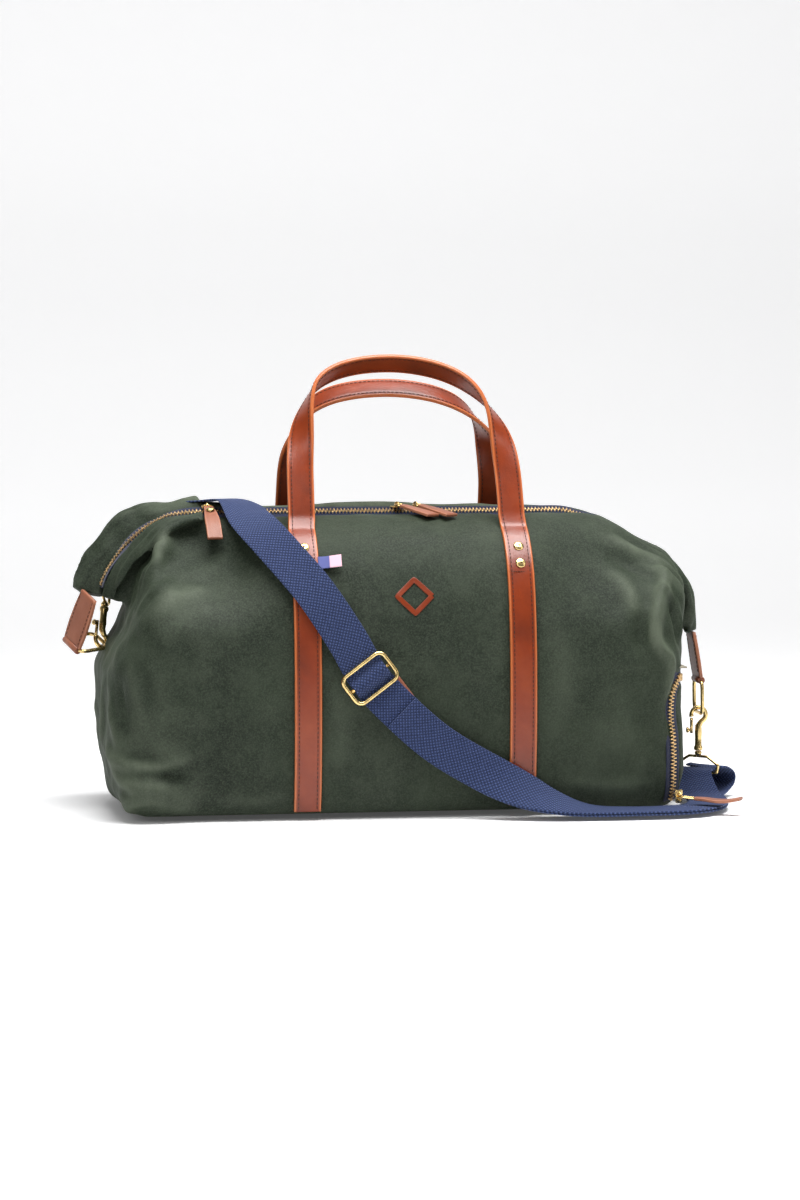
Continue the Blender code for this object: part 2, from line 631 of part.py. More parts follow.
# the run over the bag, from the buckle to the zip: x, height, distance off the cloth
FRONT_RUN = [(-0.0450, 0.1300, 0.0066), (-0.0667, 0.1670, 0.0074), (-0.0960, 0.2100, 0.0094),
             (-0.1275, 0.2480, 0.0098), (-0.1460, 0.2680, 0.0086)]
# from the zip on to the left strap ring: centre, width direction
BACK_RUN = [((-0.158, 0.000, 0.2905), (0.70, 0.71, 0.0)), ((-0.185, 0.026, 0.2900), (0.66, 0.75, 0.0)),
            ((-0.212, 0.050, 0.2840), (0.62, 0.76, -0.15)), ((-0.238, 0.072, 0.2765), (0.52, 0.78, -0.35)),
            ((-0.260, 0.085, 0.2620), (0.25, 0.85, -0.46)), ((-0.275, 0.086, 0.2430), (0.05, 0.90, -0.44))]
# from the buckle down to the floor and round to the right strap ring: centre, width direction
FLOOR_RUN = [((0.0600, -0.1250, 0.0430), (0.55, 0.05, 0.84)), ((0.0950, -0.1310, 0.0250), (0.38, 0.52, 0.76)),
             ((0.1300, -0.1355, 0.0110), (0.16, 0.90, 0.40)), ((0.1650, -0.1370, 0.0030), (0.02, 1.0, 0.08)),
             ((0.2050, -0.1375, 0.0016), (0.0, 1.0, 0.0)), ((0.2450, -0.1350, 0.0016), (0.10, 1.0, 0.0)),
             ((0.2720, -0.1200, 0.0016), (0.70, 0.72, 0.0)), ((0.2870, -0.0900, 0.0016), (0.98, 0.20, 0.0)),
             ((0.2930, -0.0550, 0.0016), (0.98, -0.20, 0.0)), ((0.3000, -0.0220, 0.0016), (0.88, -0.48, 0.0)),
             ((0.3130, 0.0060, 0.0022), (0.76, -0.65, 0.0)), ((0.3230, 0.0180, 0.0080), (0.72, -0.69, 0.0)),
             ((0.3250, 0.0200, 0.0170), (0.72, -0.69, 0.0)), ((0.3180, 0.0140, 0.0240), (0.72, -0.69, 0.0)),
             ((0.3090, 0.0060, 0.0268), (0.72, -0.69, 0.0))]
FOLD_AT = (0.2930, -0.0550, 0.0016)      # where the doubled layer rises off the floor run
FOLD_RUN = [((0.2900, -0.0400, 0.0062), (0.90, -0.42, 0.0)), ((0.2888, -0.0220, 0.0150), (0.80, -0.60, 0.0)),
            ((0.2915, -0.0095, 0.0230), (0.74, -0.67, 0.0))]
RING_WRAP = np.array([0.0009, 0.0009, 0.0040])


def front_station(x, z, out):
    """Centre and width direction of the strap where it lies on the front."""
    p = skin(x, side_at_height(z), out)
    lean = unit([0.80, 0.0, 0.60])
    normal = unit(skin(x, side_at_height(z), out + 0.001) - p)
    return p, unit(lean - normal * np.dot(lean, normal))


def resample(stations, count):
    """Centres and width directions of a run, evenly spaced."""
    rows = np.array([np.concatenate([p, unit(w) * 0.02]) for p, w in stations])
    even = spline(rows, count)
    return even[:, :3], even[:, 3:]


def shoulder_strap(left_bar, left_spread, right_bar, right_spread):
    """One length of webbing in two nodes: the long run, and the part doubled back to the buckle."""
    front = [front_station(*row) for row in FRONT_RUN]
    back = [(np.array(p), np.array(w)) for p, w in BACK_RUN]
    floor = [(np.array(p), np.array(w)) for p, w in FLOOR_RUN]
    left_end = [(left_bar + np.array([0.001, 0.002, 0.0035]), left_spread)]
    down_run = [front_station(-0.0150, 0.0980, 0.0060), front_station(0.0200, 0.0680, 0.0058)]
    right_end = [(right_bar + RING_WRAP * (1, 1, 1), right_spread)]
    path, across = resample(left_end + back[::-1] + front[::-1] + down_run + floor + right_end, 120)
    add("strap_webbing", *ribbon(path, across, WEB_WIDTH, WEB_THICK), "webbing")

    first = int(np.argmin(np.linalg.norm(path - down_run[0][0], axis=1)))
    last = int(np.argmin(np.linalg.norm(path - FOLD_AT, axis=1)))
    doubled = []
    for i in range(first, last):
        normal = unit(np.cross(across[i], path[i + 1] - path[i - 1]))
        outward = normal if normal[2] - normal[1] > 0 else -normal
        doubled.append(path[i] + outward * LAYER)
    tail = [(doubled[-1], across[last - 1])] + [(np.array(p), np.array(w)) for p, w in FOLD_RUN]
    tail.append((right_bar + RING_WRAP * (-1, -1, 1), right_spread))
    tail_path, tail_across = resample(tail, 12)
    doubled = np.vstack([doubled, tail_path[1:]])
    sides = np.vstack([across[first:last], tail_across[1:]])
    add("strap_doubled", *ribbon(doubled, sides, WEB_WIDTH, WEB_THICK), "webbing")


def strap_buckle():
    """Wire slide buckle with its centre bar, and the leather pad that keeps it off the cloth."""
    p, wide = front_station(BUCKLE_X, BUCKLE_Z, 0.0105)
    q = front_station(BUCKLE_X + 0.02, BUCKLE_Z - 0.025, 0.0105)[0]
    run = unit(q - p - wide * np.dot(q - p, wide))
    outline = []
    quarter = [(0.60, 1.0), (0.98, 0.80), (1.0, 0.30)]
    half = quarter + [(0.86, 0.0)] + [(u, -v) for u, v in reversed(quarter)]
    for u, v in half + [(-u, -v) for u, v in half]:
        outline.append(p + wide * 0.0235 * u + run * 0.0150 * v)
    buckle = add("slide_buckle", *tube(outline, 0.0019, 10, True), "brass")
    unite(buckle, tube([p - wide * 0.0205, p, p + wide * 0.0205], 0.0016, 10), "centre_bar")
    keep, wide = front_station(KEEPER_X, KEEPER_Z, 0.0040)
    ahead = unit(np.cross(wide, unit(front_station(KEEPER_X, KEEPER_Z, 0.0050)[0] - keep)))
    keep = keep + wide * 0.0032
    path = [keep - ahead * 0.012, keep, keep + ahead * 0.012]
    add("strap_keeper", *ribbon(path, [wide] * 3, WEB_WIDTH - 0.001, 0.0014), "tab_leather")


# ---- small trims --------------------------------------------------------------------------
def side_tag():
    """A small folded cloth tag caught under the left front strap's inner edge."""
    x = -STRAP_X + STRAP_WIDTH / 2 + 0.0006
    s = side_at_height(0.2350)
    path = [skin(x + d, s, 0.0016 + 0.05 * d) for d in (0.0, 0.007, 0.014, 0.020)]
    up = unit(skin(x, s + 0.005, 0.0016) - skin(x, s - 0.005, 0.0016))
    add("side_tag", *ribbon(path, [up] * 4, 0.0125, 0.0010), "label")


def emblem():
    """A plain diamond frame of thin leather on the front."""
    s = side_at_height(0.205)
    outer = []
    for k in range(24):
        turn = 2 * math.pi * k / 24
        share = 0.019 / (abs(math.cos(turn)) + abs(math.sin(turn)))
        outer.append((share * math.cos(turn), share * math.sin(turn)))
    ring = [[skin(x * f, s + h * f, GAP + 0.0009) for f in (1.0, 0.72)] for x, h in outer]
    under = [[skin(x * f, s + h * f, GAP) for f in (1.0, 0.72)] for x, h in outer]
    count = len(ring)
    verts = [p for pair in ring for p in pair] + [p for pair in under for p in pair]
    faces = []
    for k in range(count):
        a, b = 2 * k, 2 * ((k + 1) % count)
        low_a, low_b = a + 2 * count, b + 2 * count
        faces += [(a, b, b + 1, a + 1), (low_a, low_a + 1, low_b + 1, low_b),
                  (a, low_a, low_b, b), (a + 1, b + 1, low_b + 1, low_a + 1)]
    add("emblem", verts, faces, "tab_leather")


# ---- assembly -----------------------------------------------------------------------------
def build():
    for obj in list(bpy.data.objects):
        bpy.data.objects.remove(obj, do_unlink=True)
    side_panel("front_panel", False)
    side_panel("back_panel", True)
    end_panel("left_end_panel", -1, 0.004, 0.248)
    end_panel("right_end_panel", 1, SHOE_TOP + 0.012, 0.248)
    base()
    shoe_wall()
    inner_pocket()
    ear("left_ear", -1, EAR_LEFT)
    ear("right_ear", 1, EAR_RIGHT)
    for back, face in ((False, "front"), (True, "back")):
        for x, side in ((-STRAP_X, "left"), (STRAP_X, "right")):
            body_strap(f"strap_{face}_{side}", x, back)
            for z, level in ((0.2480, "upper"), (0.2330, "lower")):
                rivet(f"rivet_{face}_{side}_{level}", x, z, back)
    handle("front_handle", False, 19.0, 0.1605)
    handle("back_handle", True, 20.0, 0.1365)
    top_zip()
    slider_set("left", -0.1850, 8.0, 4.0, 0.012, True)
    slider_set("middle", -0.0010, 8.0, 30.0, 0.001, False)
    slider_set("right", 0.0170, 8.0, 30.0, 0.001, False)
    shoe_zip_band("shoe_zip_tape", "tape", 0.0085, 0.0010, 0.0020)
    shoe_zip_band("shoe_zip_teeth", "brass", 0.0030, 0.0027, 0.0038)
    shoe_door()
    shoe_slider()
    down = (-0.30, 0.25, -0.90)
    bar, across = end_tab("left", (-0.2980, -0.0060, 0.2020), down, (0.36, -0.80, -0.45), 0.0500)
    held = tab_ring("left", bar, across, (0.86, 0.48, 0.09))
    left_bar, left_spread = snap_hook("left", held, across, (0.12, 0.47, 0.87), (0.2, 0.9, -0.4), 0.0)
    bar, across = end_tab("right", (0.2908, 0.0, 0.1600), (0.16, 0.0, -0.99), (0.0, 1.0, 0.0), 0.0450)
    held = tab_ring("right", bar, across, (0.02, 0.0, -1.0))
    right_bar, right_spread = snap_hook("right", held, across, (0.0, 0.0, -1.0), (0.72, -0.69, 0.0), 0.0022)
    shoulder_strap(left_bar, left_spread, right_bar, right_spread)
    strap_buckle()
    side_tag()
    emblem()


build()
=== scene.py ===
"""Looks for the weekender bag: waxed canvas body, leather handles, brass hardware, webbing strap.

The canvas is one closed surface of an implicit field, so that its folds and tucks flow into each
other; every other piece is swept, turned or placed on that cloth.  Metres, in the CAD's frame:
+X along the bag towards its shoe compartment, -Y the front, +Z up.
"""

import math

import bmesh
import bpy
import numpy as np
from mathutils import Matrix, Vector


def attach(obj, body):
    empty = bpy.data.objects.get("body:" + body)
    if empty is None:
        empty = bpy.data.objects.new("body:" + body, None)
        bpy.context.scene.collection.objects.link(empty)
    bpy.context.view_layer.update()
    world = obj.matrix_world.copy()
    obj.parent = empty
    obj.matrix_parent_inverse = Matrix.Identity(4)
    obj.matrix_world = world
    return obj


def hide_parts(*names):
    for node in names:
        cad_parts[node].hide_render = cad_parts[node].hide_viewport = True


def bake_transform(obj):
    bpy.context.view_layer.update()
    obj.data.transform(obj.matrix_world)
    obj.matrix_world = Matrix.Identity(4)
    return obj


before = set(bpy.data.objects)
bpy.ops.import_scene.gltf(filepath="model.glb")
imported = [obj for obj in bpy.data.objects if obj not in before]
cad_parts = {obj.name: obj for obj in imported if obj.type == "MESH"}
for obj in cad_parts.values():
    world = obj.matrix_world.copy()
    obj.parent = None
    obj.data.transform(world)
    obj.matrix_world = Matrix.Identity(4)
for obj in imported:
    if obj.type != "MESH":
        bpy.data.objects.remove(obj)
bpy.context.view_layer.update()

# ---- driving sizes, as in the CAD ---------------------------------------------------------
STRAP_WIDTH, STRAP_X = 0.0254, 0.1015
LEATHER = 0.0036
WEB_WIDTH, WEB_THICK = 0.038, 0.0018
END_X, CORNER = 0.262, 0.030
ZIP_HALF = 0.0165
SHOE_TOP, SHOE_ZIP_TURN, SHOE_ZIP_CORNER = 0.124, math.radians(58), 0.022
HINGE_Z = 0.268
END_NARROW, FRONT_PINCH = 0.34, 0.26     # shares of depth lost at the ends, and more at the front left
END_DROP, DROP_FROM, DROP_OVER = 0.010, 0.212, 0.032
PROFILE = [(0.1080, 0.0040), (0.1125, 0.030), (0.1165, 0.070), (0.1175, 0.110), (0.1158, 0.150),
           (0.1105, 0.190), (0.1020, 0.222), (0.0910, 0.242), (0.0780, 0.2565), (0.0600, 0.2680),
           (0.0390, 0.2755), (ZIP_HALF, 0.2790)]


# ---- small maths --------------------------------------------------------------------------
UP = np.array([0.0, 0.0, 1.0])


def smooth(t):
    """From 0 to 1 with level ends, as t goes from 0 to 1."""
    t = np.clip(t, 0.0, 1.0)
    return t * t * (3.0 - 2.0 * t)


def unit(v):
    """A direction scaled to length one."""
    v = np.asarray(v, float)
    return v / np.linalg.norm(v)


def units(rows):
    """Each row scaled to length one."""
    return rows / np.linalg.norm(rows, axis=1)[:, None]


def walked(path):
    """Distance along a path to each of its points."""
    return np.concatenate([[0.0], np.cumsum(np.linalg.norm(np.diff(path, axis=0), axis=1))])


def spline(points, count):
    """A smooth curve through the points, resampled to even spacing."""
    p = np.asarray(points, float)
    ends = np.vstack([2 * p[0] - p[1], p, 2 * p[-1] - p[-2]])
    dense = []
    for a, b, c, d in zip(ends, ends[1:], ends[2:], ends[3:]):
        t = np.linspace(0.0, 1.0, 24, endpoint=False)[:, None]
        dense.append(0.5 * (2 * b + (c - a) * t + (2 * a - 5 * b + 4 * c - d) * t ** 2
                            + (3 * b - a - 3 * c + d) * t ** 3))
    dense = np.vstack(dense + [p[-1:]])
    walk = walked(dense)
    at = np.linspace(0.0, walk[-1], count)
    return np.stack([np.interp(at, walk, dense[:, i]) for i in range(p.shape[1])], axis=1)


SIDE = spline(PROFILE, 120)
SIDE_WALK = walked(SIDE)
SIDE_LENGTH = SIDE_WALK[-1]


def side_at(s):
    """Distance from the centre plane and height, s metres up the side from the base edge."""
    return np.interp(s, SIDE_WALK, SIDE[:, 0]), np.interp(s, SIDE_WALK, SIDE[:, 1])


def side_at_height(z):
    """Length up the side at which it reaches a height."""
    return float(np.interp(z, SIDE[:, 1], SIDE_WALK))


def end_drop(x):
    """How far the top has sunk towards the bag's ends."""
    return END_DROP * smooth((x - DROP_FROM) / DROP_OVER)


def narrowing(x, z, pinched):
    """Share of its depth that the bag keeps towards its ends, and how much a place belongs to the top."""
    far, high = smooth((abs(x) - 0.09) / 0.11), smooth((z - 0.17) / 0.09)
    pinch = pinched * FRONT_PINCH * smooth((-x - 0.12) / 0.05) * smooth((x + 0.240) / 0.03)
    return 1.0 - (END_NARROW + pinch) * far * high, high


def skin(x, s, out=0.0, back=False):
    """Point on the CAD side's outer surface, s up from the base edge, moved out along the normal."""
    def raw(px, ps):
        y, z = side_at(ps)
        narrow, high = narrowing(px, z, 0.0 if back else 1.0)
        y = ZIP_HALF + (y - ZIP_HALF) * narrow
        z -= end_drop(abs(px)) * high
        turn = max(0.0, abs(px) - (END_X - CORNER)) * (1.0 - smooth((z - 0.19) / 0.05))
        turn = min(turn, CORNER * 0.999)
        y -= CORNER - math.sqrt(CORNER ** 2 - turn ** 2)
        return np.array([px, -y, z])
    p = raw(x, s)
    along = raw(x + 0.001, s) - raw(x - 0.001, s)
    lo, hi = max(0.0, s - 0.002), min(SIDE_LENGTH, s + 0.002)
    normal = unit(np.cross(along, raw(x, hi) - raw(x, lo)))
    p = p + normal * out
    if back:
        p[1] = -p[1]
    return p


def end_face(walk, z, out=0.0):
    """Point on the CAD right end's outer surface, a distance round it from the centre plane."""
    def raw(far, pz):
        half = np.interp(pz, SIDE[:, 1], SIDE[:, 0])
        turn = min(max(0.0, abs(far) - (half - CORNER)) / CORNER, math.pi / 2)
        py = math.copysign(min(abs(far), half - CORNER) + CORNER * math.sin(turn), far)
        x = END_X - CORNER + CORNER * math.cos(turn)
        x += 0.012 * math.sin(math.pi * min(1.0, pz / 0.250)) * max(0.0, 1.0 - (py / half) ** 2)
        return np.array([x - 0.016 * smooth((pz - 0.17) / 0.07), py, pz])
    along = raw(walk + 0.001, z) - raw(walk - 0.001, z)
    normal = unit(np.cross(along, raw(walk, z + 0.001) - raw(walk, z - 0.001)))
    return raw(walk, z) + normal * (out if normal[0] > 0 else -out)


def shoe_zip_path(count=40):
    """Inverted U round the shoe compartment's door: distance round from the centre plane, height."""
    points = []
    radius = SHOE_ZIP_CORNER
    for z in np.linspace(0.006, SHOE_TOP - radius, 8):
        half = np.interp(z, SIDE[:, 1], SIDE[:, 0])
        points.append((-(half - CORNER + CORNER * SHOE_ZIP_TURN), z))
    half = -points[-1][0]
    for k in range(1, 7):
        turn = math.pi / 2 * k / 6
        points.append((-(half - radius + radius * math.cos(turn)),
                       SHOE_TOP - radius + radius * math.sin(turn)))
    points += [(-y, z) for y, z in reversed(points)]
    return spline(points, count)


SHOE_ZIP = np.array([end_face(y, z) for y, z in shoe_zip_path(46)])


# ---- the cloth as a field: negative inside ------------------------------------------------
def smax(a, b, k):
    """The larger of two fields, rounded over a width k where they meet."""
    h = np.maximum(k - np.abs(a - b), 0.0) / k
    return np.maximum(a, b) + h * h * k * 0.25


def smin(a, b, k):
    """The smaller of two fields, rounded in the same way."""
    return -smax(-a, -b, k)


TABLE_STEP, TABLE_FLOOR = 0.001, -0.030


def profile_table():
    """Signed distance to the bag's cross-section, on a grid over (distance from the middle, height)."""
    foot = [(0.0, 0.0008), (0.070, 0.0008), (0.0985, 0.0014), (0.1050, 0.0040)]
    outline = np.vstack([spline(foot, 60), spline([foot[-1], (0.1083, 0.0100)] + PROFILE[1:], 240),
                         [(0.008, 0.2795), (0.0, 0.2796)]])
    ys, zs = np.arange(0.0, 0.170, TABLE_STEP), np.arange(TABLE_FLOOR, 0.330, TABLE_STEP)
    grid = np.stack(np.meshgrid(ys, zs, indexing="ij"), axis=-1).reshape(-1, 2)
    best, inside = np.full(len(grid), 1e9), np.zeros(len(grid), bool)
    outline = outline[np.concatenate([[True], np.linalg.norm(np.diff(outline, axis=0), axis=1) > 1e-6])]
    for a, b in zip(outline, outline[1:]):
        along = b - a
        t = np.clip(((grid - a) @ along) / (along @ along), 0.0, 1.0)
        best = np.minimum(best, np.linalg.norm(grid - a - t[:, None] * along, axis=1))
        crosses = (a[1] > grid[:, 1]) != (b[1] > grid[:, 1])
        rise = b[1] - a[1] if b[1] != a[1] else 1e-12
        inside ^= crosses & (grid[:, 0] < a[0] + (grid[:, 1] - a[1]) / rise * along[0])
    return np.where(inside, -best, best).reshape(len(ys), len(zs))


SECTION = profile_table()


def section_distance(y, z):
    """The table, read between its points."""
    u = np.clip(y / TABLE_STEP, 0, SECTION.shape[0] - 1.001)
    v = np.clip((z - TABLE_FLOOR) / TABLE_STEP, 0, SECTION.shape[1] - 1.001)
    i, j = u.astype(int), v.astype(int)
    s, t = u - i, v - j
    low = SECTION[i, j] * (1 - s) + SECTION[i + 1, j] * s
    high = SECTION[i, j + 1] * (1 - s) + SECTION[i + 1, j + 1] * s
    return low * (1 - t) + high * t


# how far each end reaches, against height
END_LEFT = np.array([(0.0, 0.272), (0.012, 0.279), (0.025, 0.284), (0.045, 0.288), (0.064, 0.290),
                     (0.100, 0.290), (0.135, 0.288), (0.155, 0.280), (0.175, 0.2705), (0.200, 0.261),
                     (0.225, 0.254), (0.250, 0.248), (0.280, 0.242)])
END_RIGHT = np.array([(0.0, 0.260), (0.010, 0.265), (0.035, 0.270), (0.070, 0.2705), (0.110, 0.269),
                      (0.150, 0.269), (0.180, 0.270), (0.200, 0.270), (0.220, 0.268), (0.240, 0.264),
                      (0.270, 0.258)])
# gathered zip ends, from the top of the bag outwards and down: x, z, half width
EAR_LEFT = spline([(-0.208, 0.2755, 0.048), (-0.229, 0.270, 0.052), (-0.245, 0.261, 0.053),
                   (-0.260, 0.248, 0.050), (-0.272, 0.233, 0.044), (-0.2815, 0.217, 0.035),
                   (-0.287, 0.200, 0.024)], 60)
EAR_RIGHT = spline([(0.212, 0.257, 0.046), (0.236, 0.247, 0.050), (0.259, 0.236, 0.050),
                    (0.276, 0.219, 0.045), (0.2855, 0.198, 0.037), (0.289, 0.178, 0.028),
                    (0.290, 0.160, 0.0205)], 60)
EAR_THICK = 0.0080
EAR_FRONT = 0.80                         # the front half's share of the width
# how far a gathered end hangs at its front edge and stands up at its back edge, by the end's sign
EAR_LEAN = {-1: (0.0125, 0.024), 1: (0.006, 0.004)}
WEB_DEPTH, WEB_HALF = 0.055, 0.026       # the bundled cloth under a gathered end


def distance_along(p, points):
    """Distance to a polyline, and the share of its length where it is nearest."""
    walk = walked(points)
    best, share = np.full(len(p), 1e9), np.zeros(len(p))
    for k, (a, b) in enumerate(zip(points, points[1:])):
        along = b - a
        t = np.clip(((p - a) @ along) / (along @ along), 0.0, 1.0)
        gap = np.linalg.norm(p - a - t[:, None] * along, axis=1)
        closer = gap < best
        best = np.where(closer, gap, best)
        share = np.where(closer, (walk[k] + t * (walk[k + 1] - walk[k])) / walk[-1], share)
    return best, share


def ear_field(p, line):
    """Fields of a gathered end: its strip of doubled cloth, and the cloth bundled beneath it."""
    out = np.full((2, len(p)), 0.05)
    sign = int(math.copysign(1, line[-1, 0]))
    near = (p[:, 0] * sign > 0.19) & (p[:, 2] > 0.11)
    if not near.any():
        return out
    q, y = p[near][:, [0, 2]], p[near][:, 1]
    flat = line[:, :2]
    _, share = distance_along(q, flat)
    walk = np.linspace(0.0, 1.0, len(flat))
    foot = np.stack([np.interp(share, walk, flat[:, i]) for i in (0, 1)], axis=1)
    ahead = np.gradient(flat, axis=0)
    ahead = units(np.stack([np.interp(share, walk, ahead[:, i]) for i in (0, 1)], axis=1))
    across = np.stack([-ahead[:, 1], ahead[:, 0]], axis=1) * sign
    away = q - foot
    half = np.interp(share, walk, line[:, 2]) * np.where(y < 0, EAR_FRONT, 1.0)
    part = y / half
    hang, stand = EAR_LEAN[sign]
    fade = 0.25 + 0.75 * smooth(share / 0.45)
    ahead_part, back_part = np.clip(-part, 0, 1.3), np.clip(part, 0, 1.3)
    bow = fade * np.where(part < 0, -hang * ahead_part ** 1.5,
                          stand * np.sin(back_part * 2.2) - 0.004 * back_part ** 4)
    high = (away * across).sum(axis=1) - bow
    past = np.where(share > 0.999, (away * ahead).sum(axis=1), -0.05)
    slab = smax(smax(np.abs(high) - EAR_THICK / 2, np.abs(y) - half, 0.007), past, 0.006)
    web = smax(np.maximum(high, -high - WEB_DEPTH), np.abs(y - 0.006) - WEB_HALF, 0.010)
    web_foot = 0.195 if sign < 0 else 0.165
    web = smax(web, smax(past + 0.004, web_foot - p[near][:, 2], 0.01), 0.012)
    out[0, near] = slab
    out[1, near] = web
    return out


def body_shape(p):
    """The filled body without its gathered ends."""
    x, y, z = p.T
    narrow, high = narrowing(x, z, smooth(0.5 - y / 0.020))
    right_fall = 0.0466 * np.clip((x - 0.165) / 0.094, 0.0, 1.3) ** 1.94
    back_rise = 0.0030 * smooth(y / 0.030) * smooth((0.22 - np.abs(x)) / 0.06)
    drop = end_drop(-x) + right_fall - back_rise
    side = section_distance(np.abs(y) / narrow, z + drop * high)
    round_end = 0.012 * (y / 0.11) ** 2
    left = -x - np.interp(z, *END_LEFT.T) + round_end
    right = x - np.interp(z, *END_RIGHT.T) + round_end
    corner = np.interp(z, [0.0, 0.03, 0.10, 0.16, 0.23, 0.26], [0.016, 0.028, 0.044, 0.040, 0.028, 0.020])
    return smax(smax(side, left, corner), right, corner * 0.85)


def ridge(p, points, width, height):
    """A soft fold along a line; a negative height is a valley.  It dies away towards its ends."""
    points = np.asarray(points, float)
    out = np.zeros(len(p))
    reach = 3.0 * width
    near = np.all((p > points.min(axis=0) - reach) & (p < points.max(axis=0) + reach), axis=1)
    if near.any():
        gap, share = distance_along(p[near], points)
        fade = np.sin(np.pi * np.clip(share, 0.02, 0.98)) ** 0.6
        out[near] = height * fade * np.exp(-(gap / width) ** 2)
    return out


# folds of the cloth: points, width, height
FOLDS = [
    # under the webbing where it leaves the top, beside the left slider
    ([(-0.205, 0.020, 0.278), (-0.182, 0.022, 0.280), (-0.158, 0.022, 0.280)], 0.0120, 0.0052),
    # left end: the dent above the base, and the slack that runs down to it
    ([(-0.276, -0.060, 0.070), (-0.262, -0.092, 0.056), (-0.236, -0.108, 0.052), (-0.205, -0.114, 0.060)],
     0.0060, 0.0050),
    ([(-0.270, -0.080, 0.026), (-0.248, -0.104, 0.022), (-0.222, -0.112, 0.018)], 0.0055, 0.0040),
    ([(-0.262, -0.098, 0.062), (-0.240, -0.112, 0.046), (-0.214, -0.118, 0.040)], 0.0085, -0.0060),
    ([(-0.272, -0.080, 0.050), (-0.254, -0.104, 0.032), (-0.226, -0.114, 0.030)], 0.0070, 0.0058),
    ([(-0.250, -0.106, 0.030), (-0.262, -0.096, 0.014), (-0.268, -0.080, 0.006)], 0.0060, 0.0037),
    ([(-0.278, -0.070, 0.120), (-0.276, -0.086, 0.090), (-0.268, -0.098, 0.060)], 0.0055, 0.0035),
    ([(-0.270, -0.088, 0.130), (-0.266, -0.098, 0.100), (-0.262, -0.103, 0.072)], 0.0050, -0.0031),
    ([(-0.262, -0.094, 0.150), (-0.256, -0.104, 0.118), (-0.250, -0.109, 0.085)], 0.0060, 0.0025),
    ([(-0.288, -0.030, 0.130), (-0.286, -0.040, 0.090), (-0.280, -0.050, 0.050)], 0.0070, 0.0041),
    ([(-0.286, 0.020, 0.125), (-0.284, 0.030, 0.080), (-0.276, 0.050, 0.040)], 0.0080, 0.0037),
    # right end: the long S of slack beside the shoe zip
    ([(0.250, -0.070, 0.240), (0.244, -0.085, 0.215), (0.235, -0.098, 0.195), (0.229, -0.106, 0.176),
      (0.229, -0.108, 0.158), (0.237, -0.106, 0.142), (0.239, -0.106, 0.125), (0.232, -0.108, 0.100)],
     0.0060, 0.0092),
    ([(0.214, -0.108, 0.195), (0.214, -0.112, 0.165), (0.224, -0.112, 0.135)], 0.0080, -0.0060),
    ([(0.252, -0.080, 0.205), (0.244, -0.088, 0.178), (0.250, -0.085, 0.150)], 0.0070, -0.0075),
    ([(0.220, -0.108, 0.115), (0.219, -0.112, 0.080), (0.225, -0.112, 0.050)], 0.0090, -0.0040),
    ([(0.195, -0.090, 0.240), (0.208, -0.100, 0.212), (0.210, -0.111, 0.180)], 0.0090, 0.0040),
    # top corners, drawn towards the gathered ends
    ([(-0.205, -0.060, 0.262), (-0.232, -0.066, 0.258), (-0.256, -0.064, 0.244)], 0.0075, 0.0049),
    ([(-0.198, -0.080, 0.250), (-0.226, -0.088, 0.236), (-0.246, -0.086, 0.218)], 0.0095, -0.0052),
    ([(-0.190, -0.095, 0.232), (-0.222, -0.103, 0.208), (-0.250, -0.096, 0.180)], 0.0110, 0.0035),
    ([(0.196, -0.050, 0.262), (0.226, -0.058, 0.247), (0.250, -0.056, 0.232)], 0.0075, 0.0043),
    ([(0.196, -0.070, 0.252), (0.222, -0.080, 0.232), (0.242, -0.080, 0.215)], 0.0085, -0.0043),
    # beside the straps, and a slack run along the base
    ([(-0.086, -0.117, 0.150), (-0.070, -0.119, 0.100), (-0.075, -0.114, 0.030)], 0.0130, 0.0017),
    ([(0.122, -0.112, 0.195), (0.140, -0.118, 0.130), (0.128, -0.117, 0.060)], 0.0150, 0.0020),
    ([(0.130, -0.113, 0.030), (0.190, -0.115, 0.022), (0.235, -0.108, 0.028)], 0.0080, 0.0023),
    ([(-0.200, -0.112, 0.020), (-0.150, -0.113, 0.016), (-0.118, -0.111, 0.024)], 0.0070, 0.0020),
    # the top: cloth stands up behind the zip and rolls away in front of it
    ([(-0.232, 0.0200, 0.2720), (-0.170, 0.0175, 0.2800), (-0.060, 0.0175, 0.2805), (0.080, 0.0175, 0.2805),
      (0.200, 0.0165, 0.272)], 0.0105, 0.0070),
    ([(-0.215, -0.0125, 0.2780), (0.000, -0.0125, 0.2790), (0.190, -0.0125, 0.2770)], 0.0085, -0.0029),
    ([(-0.240, 0.026, 0.272), (-0.205, 0.028, 0.278), (-0.145, 0.026, 0.279)], 0.0140, 0.0040),
]


def gathers(p):
    """Fine folds that run along the gathered ends, beside the zip."""
    x, y, z = p.T
    left = smooth((-x - 0.226) / 0.030) * smooth((z - 0.185) / 0.02)
    right = smooth((x - 0.222) / 0.030) * smooth((z - 0.15) / 0.02)
    broad = 0.0011 * np.cos(y * 2 * np.pi / 0.0170 + 9.0 * x)
    fine = 0.0007 * np.cos(y * 2 * np.pi / 0.0105 - 14.0 * z + 1.0)
    return (left + right) * (broad + fine)


def make_waves(seed, count, shortest, longest):
    """Random plane waves: directions, phases and strengths."""
    rng = np.random.default_rng(seed)
    heading = units(rng.normal(size=(count, 3)))
    size = shortest * (longest / shortest) ** rng.random(count)
    return heading * (2 * np.pi / size)[:, None], rng.random(count) * 2 * np.pi, (size / longest) ** 0.8


SLACK = make_waves(3, 22, 0.050, 0.170)
RUMPLE = make_waves(8, 26, 0.016, 0.040)


def waves(p, made):
    """Height of the random waves at points."""
    vectors, phases, strengths = made
    total = np.zeros(len(p))
    for vector, phase, strength in zip(vectors, phases, strengths):
        total += strength * np.sin(p @ vector + phase)
    return total / math.sqrt(len(phases))


